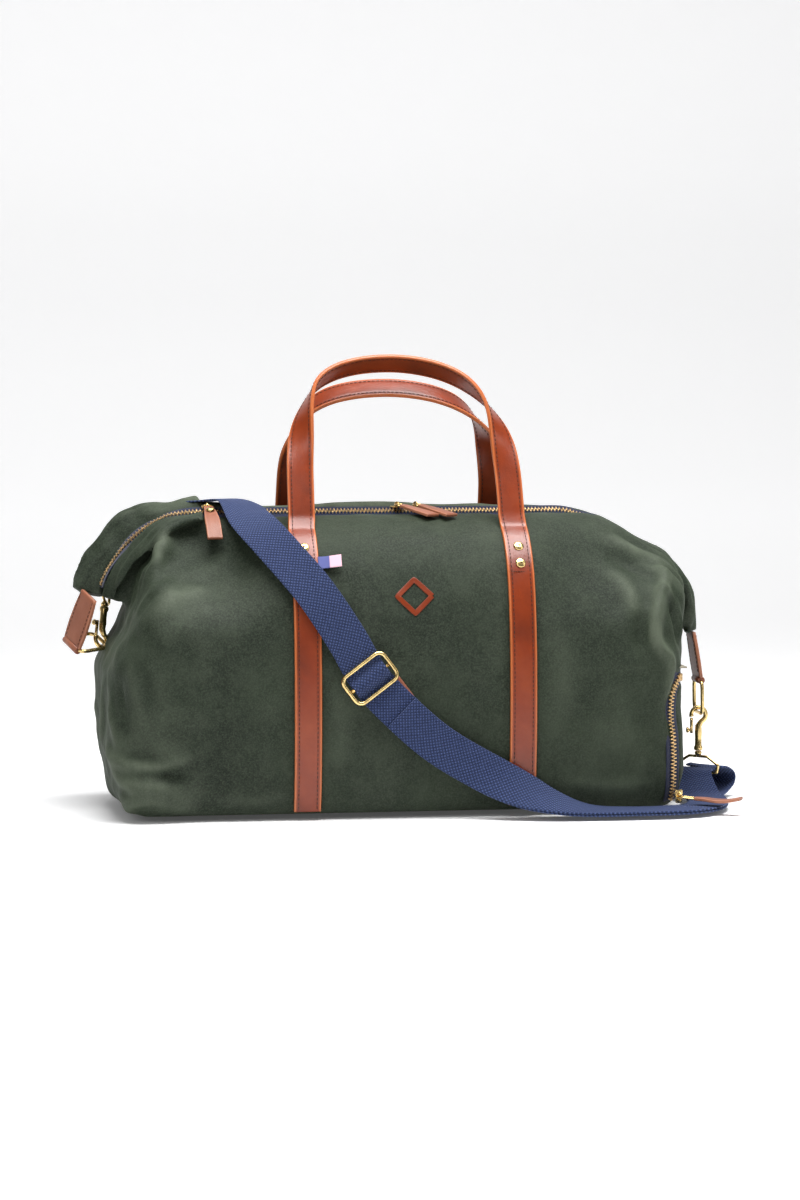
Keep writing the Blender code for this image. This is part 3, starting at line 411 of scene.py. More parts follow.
def detail(p):
    """How far the cloth stands out from its plain shape."""
    x, y, z = p.T
    out = sum(ridge(p, *fold) for fold in SETTLED)
    near_door = (x > 0.20) & (z < 0.15)
    gap, _ = distance_along(p[near_door], SHOE_ZIP)
    out[near_door] *= smooth((gap - 0.007) / 0.010)
    under_strap = np.exp(-((np.abs(x) - STRAP_X) / 0.016) ** 4)
    floor = smooth(z / 0.012) * (1.0 - 0.7 * under_strap)
    near_end = smooth((np.abs(x) - 0.17) / 0.08)
    out = out + floor * (0.0013 + 0.0015 * near_end) * waves(p, SLACK)
    out = out + floor * (0.00030 + 0.00080 * near_end) * waves(p, RUMPLE)
    out = out + gathers(p)
    out = out - 0.0008 * under_strap * smooth(z / 0.012)
    in_groove = smooth((0.0098 - np.abs(y)) / 0.0030) * smooth((z - 0.19) / 0.02)
    out = out - 0.0042 * in_groove * smooth((0.197 - x) / 0.006)
    out[near_door] -= 0.0022 * smooth((0.0098 - gap) / 0.0022)
    return out


# dark pockets between the walls and the gathered ends: line (x, z), radius along it, depth in from the front
POCKETS = [([(-0.2360, 0.2550), (-0.2490, 0.2450), (-0.2620, 0.2270), (-0.2780, 0.1980)],
            [(0.0, 0.0035), (0.25, 0.0095), (0.55, 0.0065), (1.0, 0.0035)], -0.020),
           ([(0.2595, 0.2440), (0.2690, 0.2230), (0.2735, 0.1900), (0.2715, 0.1560)],
            [(0.0, 0.0042), (0.2, 0.0024), (0.7, 0.0026), (1.0, 0.0045)], -0.045)]


def plain_field(p):
    """Body, gathered ends and pockets, without folds."""
    left, right = ear_field(p, EAR_LEFT), ear_field(p, EAR_RIGHT)
    slabs, bundles = np.minimum(left, right)
    whole = smin(body_shape(p), bundles, 0.0060)
    for line, radii, depth in POCKETS:
        line = np.array([(x, 0.0, z) for x, z in line])
        near = (np.abs(p[:, 0] - line[:, 0].mean()) < 0.05) & (p[:, 2] > 0.13)
        if near.any():
            gap, share = distance_along(p[near] * (1.0, 0.0, 1.0), line)
            pocket = np.maximum(gap - np.interp(share, *np.array(radii).T), p[near][:, 1] - depth)
            whole[near] = smax(whole[near], -pocket, 0.003)
    return smin(whole, slabs, 0.0040)


def cloth_field(p):
    """The finished cloth."""
    return plain_field(p) - detail(p)


def gradient(p, field):
    """How a field changes along each axis."""
    eps = 0.0008
    steps = [(field(p + eps * e) - field(p - eps * e)) / (2 * eps) for e in np.eye(3)]
    return np.stack(steps, axis=1)


def normals(p, field):
    """Unit directions out of the field's surface."""
    return units(gradient(p, field))


def settle(p, field, rounds):
    """Moves points on to the field's surface."""
    for _ in range(rounds):
        g = gradient(p, field)
        step = field(p)[:, None] * g / np.maximum((g * g).sum(axis=1), 0.2)[:, None]
        p = p - np.clip(step, -0.003, 0.003)
    return p


def on_shape(points):
    """The same line, moved on to the plain cloth."""
    line = spline(points, 4 * len(points))
    return settle(line, plain_field, 8)


SETTLED = [(on_shape(points), width, height) for points, width, height in FOLDS]


def relax(p, edges, rounds):
    """Evens out a mesh's spacing: each point moves towards the mean of its neighbours."""
    a, b = edges.T
    count = np.bincount(np.concatenate([a, b]), minlength=len(p))[:, None]
    for _ in range(rounds):
        total = np.zeros_like(p)
        for i in range(3):
            total[:, i] = (np.bincount(a, weights=p[b, i], minlength=len(p))
                           + np.bincount(b, weights=p[a, i], minlength=len(p)))
        p = p + 0.5 * (total / count - p)
    return p


def surface_net(field, low, high, step):
    """Points and quads where the field changes sign, one point to a grid cell."""
    block = 5
    axes = [np.arange(a, b + step * block, step) for a, b in zip(low, high)]
    axes = [a[:len(a) // block * block] for a in axes]
    shape = tuple(len(a) for a in axes)
    coarse = [a[block // 2::block] for a in axes]
    mid = np.stack(np.meshgrid(*coarse, indexing="ij"), axis=-1).reshape(-1, 3)
    rough = field(mid).reshape([len(a) for a in coarse])
    values = np.repeat(np.repeat(np.repeat(rough, block, 0), block, 1), block, 2)
    near = np.abs(values) < 1.6 * block * step
    at = np.argwhere(near)
    values[near] = field(np.stack([axes[i][at[:, i]] for i in range(3)], axis=1))
    inside = values < 0
    cells = tuple(n - 1 for n in shape)
    corners = sum(inside[i:i + cells[0], j:j + cells[1], k:k + cells[2]].astype(int)
                  for i in (0, 1) for j in (0, 1) for k in (0, 1))
    active = (corners > 0) & (corners < 8)
    number = np.full(cells, -1)
    number[active] = np.arange(active.sum())
    points = (np.argwhere(active) + 0.5) * step + np.array(low)
    quads = []
    for axis in range(3):
        u, v = [i for i in range(3) if i != axis]
        first, second = [slice(None)] * 3, [slice(None)] * 3
        first[axis], second[axis] = slice(0, -1), slice(1, None)
        at = np.argwhere(inside[tuple(first)] != inside[tuple(second)])
        at = at[(at[:, u] > 0) & (at[:, v] > 0) & (at[:, u] < cells[u]) & (at[:, v] < cells[v])]
        corner = []
        for du, dv in ((1, 1), (0, 1), (0, 0), (1, 0)):
            cell = at.copy()
            cell[:, u] -= du
            cell[:, v] -= dv
            corner.append(number[tuple(cell.T)])
        quad = np.stack(corner, axis=1)
        flip = inside[tuple(at.T)] if axis != 1 else ~inside[tuple(at.T)]
        quads.append(np.where(flip[:, None], quad, quad[:, ::-1]))
    return points, np.vstack(quads)


def on_cloth(points, out, rounds=5):
    """The nearest points on the cloth, moved off it."""
    p = settle(np.asarray(points, float).reshape(-1, 3), cloth_field, rounds)
    return p + normals(p, cloth_field) * out


def even(path, rounds=3):
    """A path with its small kinks smoothed out."""
    path = np.array(path, float)
    for _ in range(rounds):
        path[1:-1] = 0.25 * path[:-2] + 0.5 * path[1:-1] + 0.25 * path[2:]
    return path


# ---- object makers ------------------------------------------------------------------------
def make(name, verts, faces, material, body, slot=None, uvs=None, attributes=None, sharp=None):
    """A mesh piece that rides on a body; sharp is the angle beyond which its edges stay hard."""
    mesh = bpy.data.meshes.new(name)
    mesh.from_pydata([tuple(v) for v in np.asarray(verts, float)], [],
                     [tuple(int(i) for i in f) for f in faces])
    mesh.validate()
    mesh.shade_smooth()
    if uvs is not None:
        layer = mesh.uv_layers.new(name="UVMap")
        corners = np.empty(len(mesh.loops), np.int32)
        mesh.loops.foreach_get("vertex_index", corners)
        layer.data.foreach_set("uv", np.asarray(uvs, np.float32)[corners].ravel())
    for key, values in (attributes or {}).items():
        mesh.attributes.new(key, "FLOAT", "POINT").data.foreach_set("value", np.asarray(values, np.float32))
    bm = bmesh.new()
    bm.from_mesh(mesh)
    bmesh.ops.recalc_face_normals(bm, faces=bm.faces)
    bm.to_mesh(mesh)
    bm.free()
    if sharp is not None:
        mesh.set_sharp_from_angle(angle=math.radians(sharp))
    mesh.materials.append(material)
    obj = bpy.data.objects.new(name, mesh)
    bpy.context.scene.collection.objects.link(obj)
    if body is not None:
        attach(obj, body)
    return obj


def frames(path, across):
    """Unit directions along, across and out of a band, at each of its points."""
    path = np.asarray(path, float)
    ahead = units(np.gradient(path, axis=0))
    side = np.asarray(across, float)
    side = units(side - ahead * (side * ahead).sum(axis=1)[:, None])
    return ahead, side, np.cross(side, ahead)


def ring_faces(rings, around):
    """Quads between each ring of points and the next."""
    return [(i * around + k, i * around + (k + 1) % around, (i + 1) * around + (k + 1) % around,
             (i + 1) * around + k) for i in range(rings - 1) for k in range(around)]


def end_caps(rings, around):
    """The faces that close the first and the last ring."""
    return [tuple(range(around)), tuple(range((rings - 1) * around, rings * around))]


def sweep(path, across, outline, wide=1.0):
    """Vertices, faces and UVs of a closed outline (distance across, distance out) carried along a path."""
    path = np.asarray(path, float)
    _, side, out = frames(path, across)
    count, around = len(path), len(outline)
    wide = np.broadcast_to(np.asarray(wide, float), (count,))
    outline = np.asarray(outline, float)
    verts = (path[:, None] + side[:, None] * outline[None, :, :1] * wide[:, None, None]
             + out[:, None] * outline[None, :, 1:2]).reshape(-1, 3)
    walk = walked(path)
    uvs = np.stack([np.tile(outline[:, 0], count), np.repeat(walk, around)], axis=1)
    return verts, ring_faces(count, around) + end_caps(count, around), uvs


def band_outline(width, thick, round_edge, groove=0.0, crown=0.0, seam=0.0, across=17):
    """Section of a flat band with rounded edges, a groove between its two layers, and sunk stitch lines."""
    half, up = width / 2, thick / 2
    flat = np.linspace(-(half - round_edge), half - round_edge, across)
    height = up + crown * (1 - (flat / half) ** 2)
    if seam:
        height = height - 0.00025 * np.exp(-((np.abs(flat) - (half - seam)) / 0.0009) ** 2)
    top = list(zip(flat, height))
    turns = [math.radians(turn) for turn in (60, 30)]
    edge = [(half - round_edge + round_edge * math.cos(a), up - round_edge + round_edge * math.sin(a))
            for a in turns]
    edge += [(half, up * 0.30), (half - groove, 0.0)]
    right = edge + [(u, -v) for u, v in edge[-2::-1]]
    under = [(u, -v) for u, v in top[::-1]]
    left = [(-u, -v) for u, v in right]
    return top + right + under + left


def tube(path, radius, sides=16, closed=False):
    """A round bar along a path, capped or closed on itself; radius may vary along it."""
    path = np.asarray(path, float)
    count = len(path)
    radii = np.broadcast_to(np.asarray(radius, float), (count,))
    verts, lean = [], None
    turns = 2 * np.pi * np.arange(sides) / sides
    for i, p in enumerate(path):
        before = path[i - 1] if (i or closed) else p
        after = path[(i + 1) % count] if (i < count - 1 or closed) else p
        ahead = unit(after - before)
        if lean is None:
            lean = np.cross(ahead, (0.31, 0.52, 0.79))      # any direction that no bar here follows
        lean = unit(lean - ahead * np.dot(lean, ahead))
        other = np.cross(ahead, lean)
        verts.append(p + radii[i] * (np.cos(turns)[:, None] * lean + np.sin(turns)[:, None] * other))
    verts = np.vstack(verts)
    faces = ring_faces(count, sides)
    if not closed:
        return verts, faces + end_caps(count, sides)
    shift = int(np.argmin(np.linalg.norm(verts[-sides:] - verts[0], axis=1)))
    last = (count - 1) * sides
    faces += [(last + (k + shift) % sides, last + (k + 1 + shift) % sides, (k + 1) % sides, k)
              for k in range(sides)]
    return verts, faces


def loop(centre, u, v, half_u, half_v, corner, steps=12):
    """Closed rounded rectangle in the plane of u and v, with points along its straight sides."""
    u, v, centre = unit(u), unit(v), np.asarray(centre, float)
    points = []
    for quadrant, (su, sv) in enumerate([(1, 1), (-1, 1), (-1, -1), (1, -1)]):
        for k in range(steps):
            turn = math.pi / 2 * (quadrant + k / (steps - 1))
            points.append(centre + u * (su * (half_u - corner) + corner * math.cos(turn))
                          + v * (sv * (half_v - corner) + corner * math.sin(turn)))
    keep = [points[0]]
    for p in points[1:]:
        if np.linalg.norm(p - keep[-1]) > 1e-5:
            keep.append(p)
    return keep


def turned(centre, axis, profile, sides=32):
    """A solid of revolution; profile is a list of (distance along the axis, radius)."""
    axis, centre = unit(axis), np.asarray(centre, float)
    return tube([centre + axis * d for d, _ in profile], [max(r, 1e-5) for _, r in profile], sides)


def joined(parts):
    """Several (vertices, faces) as one."""
    verts, faces, count = [], [], 0
    for part in parts:
        verts.append(np.asarray(part[0], float))
        faces += [tuple(int(i) + count for i in f) for f in part[1]]
        count += len(part[0])
    return np.vstack(verts), faces


def copies(shape, centres, ahead, side, out):
    """One small shape (in along, across, out) repeated at each centre, in its own directions."""
    verts, faces = np.asarray(shape[0], float), np.asarray(shape[1])
    placed = (centres[:, None] + verts[None, :, :1] * ahead[:, None] + verts[None, :, 1:2] * side[:, None]
              + verts[None, :, 2:] * out[:, None]).reshape(-1, 3)
    shift = (np.arange(len(centres)) * len(verts))[:, None, None]
    return placed, (faces[None] + shift).reshape(-1, faces.shape[1])


def rounded_box(size, bevel, segments=2):
    """A box with rounded edges, about the origin."""
    bm = bmesh.new()
    bmesh.ops.create_cube(bm, size=1.0)
    bmesh.ops.scale(bm, vec=size, verts=bm.verts)
    bmesh.ops.bevel(bm, geom=list(bm.edges), offset=bevel, segments=segments, profile=0.5, affect="EDGES")
    bm.verts.index_update()
    shape = (np.array([v.co[:] for v in bm.verts]), [tuple(v.index for v in f.verts) for f in bm.faces])
    bm.free()
    return shape


def placed(shape, centre, u, v, w):
    """A shape about the origin, turned to the directions u, v and w and moved to a centre."""
    verts = np.asarray(shape[0], float)
    return np.asarray(centre, float) + verts @ np.array([unit(u), unit(v), unit(w)]), shape[1]


def along(path, across, start, stop, pitch):
    """Evenly spaced points on a band, with its directions there."""
    walk = walked(path)
    at = np.arange(start, walk[-1] - stop, pitch)
    ahead, side, out = frames(path, across)

    def pick(rows):
        return np.stack([np.interp(at, walk, rows[:, i]) for i in range(3)], axis=1)
    return pick(np.asarray(path, float)), pick(ahead), pick(side), pick(out)


def stitch_shape(length, radius):
    """One stitch: a short thread, thinner where it dips into the leather."""
    spots = [(-0.5, 0.25), (-0.42, 0.75), (-0.2, 1.0), (0.2, 1.0), (0.42, 0.75), (0.5, 0.25)]
    rise = [-0.9, -0.2, 0.25, 0.25, -0.2, -0.9]
    sides = 6
    turns = [2 * math.pi * k / sides for k in range(sides)]
    verts = [(t * length, r * radius * math.cos(a), r * radius * math.sin(a) * 0.8 + lift * radius * 0.5)
             for (t, r), lift in zip(spots, rise) for a in turns]
    return verts, ring_faces(len(spots), sides)


STITCH = stitch_shape(0.0031, 0.00042)
STITCH_PITCH = 0.0042


def stitches(path, across, offset, height, start=0.004, stop=0.004, both=False):
    """Two rows of stitches beside a band's edges, on its outer face or on both."""
    centres, ahead, side, out = along(path, across, start, stop, STITCH_PITCH)
    parts = []
    for face in ((1, -1) if both else (1,)):
        for edge in (1, -1):
            rows = centres + side * edge * offset + out * face * height
            parts.append(copies(STITCH, rows, ahead, side, out * face))
    return joined(parts)


# ---- materials ----------------------------------------------------------------------------
class Shader:
    """A material's node tree, with short calls for the nodes it uses."""

    def __init__(self, name, roughness=0.6, metallic=0.0, **values):
        self.material = bpy.data.materials.new(name)
        self.material.use_nodes = True
        self.tree = self.material.node_tree
        self.main = self.tree.nodes["Principled BSDF"]
        self.main.inputs["Roughness"].default_value = roughness
        self.main.inputs["Metallic"].default_value = metallic
        for key, value in values.items():
            self.main.inputs[key.replace("_", " ")].default_value = value
        self.spot = self.node("ShaderNodeTexCoord").outputs["Object"]

    def node(self, kind, **settings):
        made = self.tree.nodes.new(kind)
        for key, value in settings.items():
            setattr(made, key, value)
        return made

    def link(self, output, target):
        self.tree.links.new(output, target)

    def attribute(self, name):
        return self.node("ShaderNodeAttribute", attribute_name=name).outputs["Fac"]

    def uv(self):
        return self.node("ShaderNodeUVMap", uv_map="UVMap").outputs["UV"]

    def stretched(self, scale, source=None):
        made = self.node("ShaderNodeMapping")
        made.inputs["Scale"].default_value = scale
        self.link(source or self.spot, made.inputs["Vector"])
        return made.outputs["Vector"]

    def noise(self, scale, detail=3.0, rough=0.55, source=None):
        made = self.node("ShaderNodeTexNoise")
        made.inputs["Scale"].default_value = scale
        made.inputs["Detail"].default_value = detail
        made.inputs["Roughness"].default_value = rough
        self.link(source or self.spot, made.inputs["Vector"])
        return made.outputs["Fac"]

    def cells(self, scale, source=None):
        made = self.node("ShaderNodeTexVoronoi", feature="F1")
        made.inputs["Scale"].default_value = scale
        self.link(source or self.spot, made.inputs["Vector"])
        return made.outputs["Distance"]

    def wave(self, scale, direction, source, distortion=0.0):
        made = self.node("ShaderNodeTexWave", bands_direction=direction, wave_profile="SIN")
        made.inputs["Scale"].default_value = scale
        made.inputs["Distortion"].default_value = distortion
        self.link(source, made.inputs["Vector"])
        return made.outputs["Fac"]

    def times(self, a, b, clamp=False):
        made = self.node("ShaderNodeMath", operation="MULTIPLY", use_clamp=clamp)
        self.link(a, made.inputs[0])
        self.link(b, made.inputs[1])
        return made.outputs[0]

    def ramp(self, source, stops):
        """Colours at positions from 0 to 1."""
        made = self.node("ShaderNodeValToRGB")
        elements = made.color_ramp.elements
        while len(elements) < len(stops):
            elements.new(0.5)
        for element, (position, colour) in zip(elements, stops):
            element.position = position
            element.color = (*colour, 1.0)
        self.link(source, made.inputs["Fac"])
        return made.outputs["Color"]

    def blend(self, amount, a, b):
        """Colour a where the amount is 0, b where it is 1; both may be fixed colours."""
        made = self.node("ShaderNodeMix", data_type="RGBA", blend_type="MIX")
        for value, target in ((amount, made.inputs[0]), (a, made.inputs[6]), (b, made.inputs[7])):
            if isinstance(value, tuple):
                target.default_value = (*value, 1.0)
            else:
                self.link(value, target)
        return made.outputs[2]

    def spread(self, source, low, high):
        """A value from 0 to 1 carried on to another range."""
        return self.patch(source, 0.0, 1.0, low, high)

    def patch(self, source, start, stop, low, high):
        """A value that goes from low to high as the source goes from start to stop."""
        made = self.node("ShaderNodeMapRange")
        for key, value in (("From Min", start), ("From Max", stop), ("To Min", low), ("To Max", high)):
            made.inputs[key].default_value = value
        self.link(source, made.inputs["Value"])
        return made.outputs["Result"]

    def colour(self, source):
        self.link(source, self.main.inputs["Base Color"])

    def rough(self, source):
        self.link(source, self.main.inputs["Roughness"])

    def relief(self, *layers):
        """Bumps, each (height, distance in metres), one over another."""
        normal = None
        for height, distance in layers:
            made = self.node("ShaderNodeBump")
            made.inputs["Strength"].default_value = 1.0
            made.inputs["Distance"].default_value = distance
            self.link(height, made.inputs["Height"])
            if normal is not None:
                self.link(normal, made.inputs["Normal"])
            normal = made.outputs["Normal"]
        self.link(normal, self.main.inputs["Normal"])


def canvas_material():
    """Waxed cotton canvas: dark green, mottled, paler where it has been folded."""
    m = Shader("waxed_canvas", roughness=0.62, Specular_IOR_Level=0.20, Sheen_Weight=0.05,
               Sheen_Roughness=0.45, Sheen_Tint=(0.55, 0.75, 0.42, 1.0))
    clouds = m.noise(7.0, 4.0, 0.6)
    blots = m.noise(42.0, 5.0, 0.62)
    base = m.ramp(clouds, [(0.30, CANVAS_DARK), (0.50, CANVAS_MID), (0.70, CANVAS_PALE)])
    base = m.blend(m.patch(blots, 0.46, 0.74, 0.0, 0.55), base, CANVAS_WORN)
    base = m.blend(m.patch(m.noise(150.0, 4.0, 0.7), 0.50, 0.75, 0.0, 0.40), base, CANVAS_WORN)
    threads = m.noise(1.0, 4.0, 0.7, m.stretched((900.0, 900.0, 140.0)))
    base = m.blend(m.spread(threads, -0.10, 0.34), base, CANVAS_DARK)
    grain = m.noise(620.0, 4.0, 0.8)
    base = m.blend(m.patch(grain, 0.44, 0.62, 0.0, 0.75), base, CANVAS_WORN)
    scuffs = m.noise(1.0, 3.0, 0.6, m.stretched((95.0, 60.0, 22.0)))
    worn = m.times(m.attribute("crease"), m.spread(scuffs, 0.35, 1.25), clamp=True)
    m.colour(m.blend(worn, base, CANVAS_CREASE))
    m.rough(m.spread(blots, 0.52, 0.78))
    weave_x = m.wave(390.0, "X", m.spot, 0.6)
    weave_z = m.wave(390.0, "Z", m.spot, 0.6)
    weave = m.times(weave_x, weave_z)
    m.relief((blots, 0.0009), (m.noise(170.0, 4.0, 0.6), 0.00028), (weave, 0.00012))
    return m.material


def leather_material(name, dark, mid, pale, edge, rough, grain=0.00006):
    """Smooth oiled leather with paler burnished edges."""
    m = Shader(name, roughness=0.4, Specular_IOR_Level=0.45, Coat_Weight=0.10, Coat_Roughness=0.22)
    clouds = m.noise(16.0, 4.0, 0.6)
    base = m.ramp(clouds, [(0.28, dark), (0.52, mid), (0.78, pale)])
    pores = m.cells(900.0)
    base = m.blend(m.spread(m.noise(120.0, 4.0, 0.65), 0.0, 0.35), base, dark)
    m.colour(m.blend(m.attribute("rim"), base, edge))
    m.rough(m.spread(m.noise(60.0, 4.0, 0.6), *rough))
    m.relief((m.noise(55.0, 4.0, 0.6), 0.0004), (pores, grain))
    return m.material


def webbing_material():
    """Navy cotton webbing in a plain basket weave, coloured with painted shade in the weave's hollows and
    painted highlights on its knots.
    """
    m = Shader("webbing_weave", roughness=0.88, Specular_IOR_Level=0.25, Sheen_Weight=0.25,
               Sheen_Roughness=0.5, Sheen_Tint=(0.45, 0.55, 0.9, 1.0))
    uv = m.uv()
    grid = m.wave(1.0, "DIAGONAL", m.stretched((165.0, 165.0, 0.0), uv), 0.35)
    cross = m.wave(1.0, "DIAGONAL", m.stretched((165.0, -165.0, 0.0), uv), 0.35)
    knots = m.times(grid, cross)
    # painted shade and painted highlight: near black where the weave sinks, pale navy specks on the raised
    # knots
    painted_weave_shading = m.ramp(knots, [(0.0, (0.0050, 0.0090, 0.032)), (0.30, (0.018, 0.031, 0.094)),
                           (1.0, (0.050, 0.078, 0.195))])
    m.colour(m.blend(m.spread(m.noise(260.0, 3.0), 0.0, 0.30), painted_weave_shading, (0.052, 0.074, 0.160)))
    m.relief((knots, 0.0006), (m.noise(700.0, 2.0), 0.0001))
    return m.material


def tape_material():
    """Navy zip tape, finely ribbed."""
    m = Shader("zip_tape", roughness=0.85, Specular_IOR_Level=0.25, Sheen_Weight=0.15)
    ribs = m.wave(1.0, "X", m.stretched((300.0, 300.0, 1.0), m.uv()), 0.3)
    m.colour(m.ramp(ribs, [(0.0, (0.006, 0.008, 0.020)), (1.0, (0.020, 0.028, 0.070))]))
    m.relief((ribs, 0.0002),)
    return m.material


def brass_material(name="brass_polished", tone=(0.76, 0.56, 0.24), rough=(0.16, 0.34)):
    """Cast brass, slightly uneven, with light tarnish in patches."""
    m = Shader(name, roughness=0.25, metallic=1.0)
    patches = m.noise(110.0, 5.0, 0.65)
    dull = tuple(0.62 * c for c in tone)
    m.colour(m.ramp(patches, [(0.34, dull), (0.56, tone), (0.80, tuple(min(1.0, 1.16 * c) for c in tone))]))
    m.rough(m.spread(patches, *rough))
    m.relief((m.noise(420.0, 3.0), 0.00005),)
    return m.material


def thread_material():
    """Dark twisted thread."""
    m = Shader("waxed_thread", roughness=0.6, Specular_IOR_Level=0.3)
    m.colour(m.ramp(m.noise(900.0, 2.0), [(0.3, (0.032, 0.010, 0.006)), (0.7, (0.085, 0.026, 0.012))]))
    m.relief((m.wave(1600.0, "DIAGONAL", m.spot), 0.0001),)
    return m.material


def label_material():
    """A small woven tag in two plain blocks."""
    m = Shader("woven_tag", roughness=0.85, Specular_IOR_Level=0.25)
    m.colour(m.blend(m.attribute("rim"), (0.82, 0.50, 0.60), (0.115, 0.130, 0.330)))
    m.relief((m.wave(900.0, "X", m.spot), 0.0001),)
    return m.material


def plain_material(name, low, high, scale, rough, distance=0.0002):
    """A mottled material for what is inside the bag."""
    m = Shader(name, roughness=rough, Specular_IOR_Level=0.3)
    pattern = m.noise(scale, 4.0, 0.6)
    m.colour(m.ramp(pattern, [(0.3, low), (0.7, high)]))
    m.relief((pattern, distance),)
    return m.material


CANVAS_DARK, CANVAS_MID = (0.0038, 0.0072, 0.0036), (0.0098, 0.0160, 0.0080)
CANVAS_PALE, CANVAS_WORN, CANVAS_CREASE = (0.023, 0.033, 0.018), (0.040, 0.052, 0.034), (0.150, 0.176, 0.125)
STRAP_TONES = (0.105, 0.014, 0.002), (0.200, 0.025, 0.002), (0.265, 0.043, 0.007), (0.430, 0.108, 0.026)
TAB_TONES = (0.165, 0.048, 0.022), (0.260, 0.085, 0.042), (0.350, 0.135, 0.075), (0.360, 0.140, 0.075)
MATERIALS = {
    "canvas": canvas_material(),
    "strap": leather_material("strap_leather", *STRAP_TONES, rough=(0.27, 0.42)),
    "tab": leather_material("tab_leather", *TAB_TONES, rough=(0.42, 0.62), grain=0.00012),
    "webbing": webbing_material(),
    "tape": tape_material(),
    "brass": brass_material(),
    "teeth": brass_material("zip_brass", (0.80, 0.54, 0.26), (0.22, 0.36)),
    "thread": thread_material(),
    "label": label_material(),
    "board": plain_material("base_board", (0.035, 0.035, 0.034), (0.060, 0.058, 0.055), 60.0, 0.7),
    "lining": plain_material("cotton_lining", (0.26, 0.23, 0.17), (0.34, 0.31, 0.24), 150.0, 0.9),
}


def brass(name, shape, body, sharp=None):
    """A brass piece, from its vertices and faces."""
    return make(name, *shape, MATERIALS["brass"], body, "brass", sharp=sharp)


def webbing(name, path, across, section):
    """A length of webbing."""
    verts, faces, uvs = sweep(path, across, section)
    return make(name, verts, faces, MATERIALS["webbing"], "bag", "webbing", uvs)


# ---- canvas body --------------------------------------------------------------------------
def canvas_body():
    """Walls, base, shoe door and gathered zip ends, as one skin of cloth."""
    step = 0.0030
    points, quads = surface_net(plain_field, (-0.314, -0.135, -0.008), (0.307, 0.135, 0.300), step)
    edges = np.vstack([quads[:, [i, (i + 1) % 4]] for i in range(4)])
    edges = np.unique(np.sort(edges, axis=1), axis=0)
    points = settle(points, plain_field, 2)
    points = relax(points, edges, 3)
    points = settle(points, plain_field, 2)
    lift = detail(points)
    points = points + normals(points, plain_field) * lift[:, None]
    points = relax(points, edges, 1)
    points[:, 2] = np.maximum(points[:, 2], 0.0004)
    folds = sum(np.maximum(ridge(points, *fold), 0.0) for fold in SETTLED)
    bumps = lift - folds
    crease = np.clip(folds / 0.0060, 0, 1) ** 1.6 * 0.85 + np.clip(bumps / 0.0030, 0, 1) * 0.22
    body = make("canvas_body", points, quads, MATERIALS["canvas"], "bag", "canvas",
                attributes={"crease": crease})
    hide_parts("front_panel", "back_panel", "left_end_panel", "right_end_panel", "base_panel",
                "left_ear", "right_ear", "shoe_door")


# ---- straps and handles -------------------------------------------------------------------
# a handle's line in its own plane: distance along the bag, height over the bend
HANDLE_LINE = [(-0.1005, 0.0), (-0.1003, 0.030), (-0.0995, 0.065), (-0.0965, 0.095), (-0.0910, 0.118),
               (-0.0820, 0.1375), (-0.0660, 0.1500), (-0.0430, 0.1575), (-0.0150, 0.1605),
               (0.0120, 0.1590), (0.0380, 0.1530), (0.0600, 0.1425), (0.0770, 0.1270), (0.0885, 0.1070),
               (0.0955, 0.0820), (0.0992, 0.0520), (0.1003, 0.0250), (0.1005, 0.0)]
HANDLE_TOP = 0.1605
HANDLE_TWIST = (0.30, 0.95)              # shares of its height between which a handle turns its face up
HANDLE_TIP = 18.0                        # degrees that its top leans outwards
STRAP_LIFT, STRAP_GAP = 0.0009, 0.0006   # off the CAD's side, and off the cloth
STRAP_SEAM = 0.0040                      # from a strap's edge to its stitches


def handle_path(back, lean_deg, rise):
    """Centre line and width directions of a handle, as in the CAD."""
    y0, z0 = skin(STRAP_X, side_at_height(HINGE_Z), LEATHER / 2 + STRAP_LIFT, back)[1:]
    inward = -1.0 if back else 1.0
    lean, tip = math.radians(lean_deg), math.tan(math.radians(HANDLE_TIP))
    up = np.array([0.0, inward * math.sin(lean), math.cos(lean)])
    face = np.array([0.0, -inward * math.cos(lean), math.sin(lean)])
    path, across = [], []
    for x, height in spline(HANDLE_LINE, 260):
        share = max(0.0, height / HANDLE_TOP)
        path.append(np.array([x, y0, z0]) + up * share * rise)
        start, end = HANDLE_TWIST
        roll = math.pi / 2 * (1.0 - smooth((share - start) / (end - start)))
        middle = np.array([-math.copysign(1.0, x), 0.0, 0.0])
        crosswise = face + up * tip * smooth((share - 0.6) / 0.4)
        across.append(crosswise * math.cos(roll) + middle * math.sin(roll))
    return np.array(path), np.array(across), float(y0), float(z0)


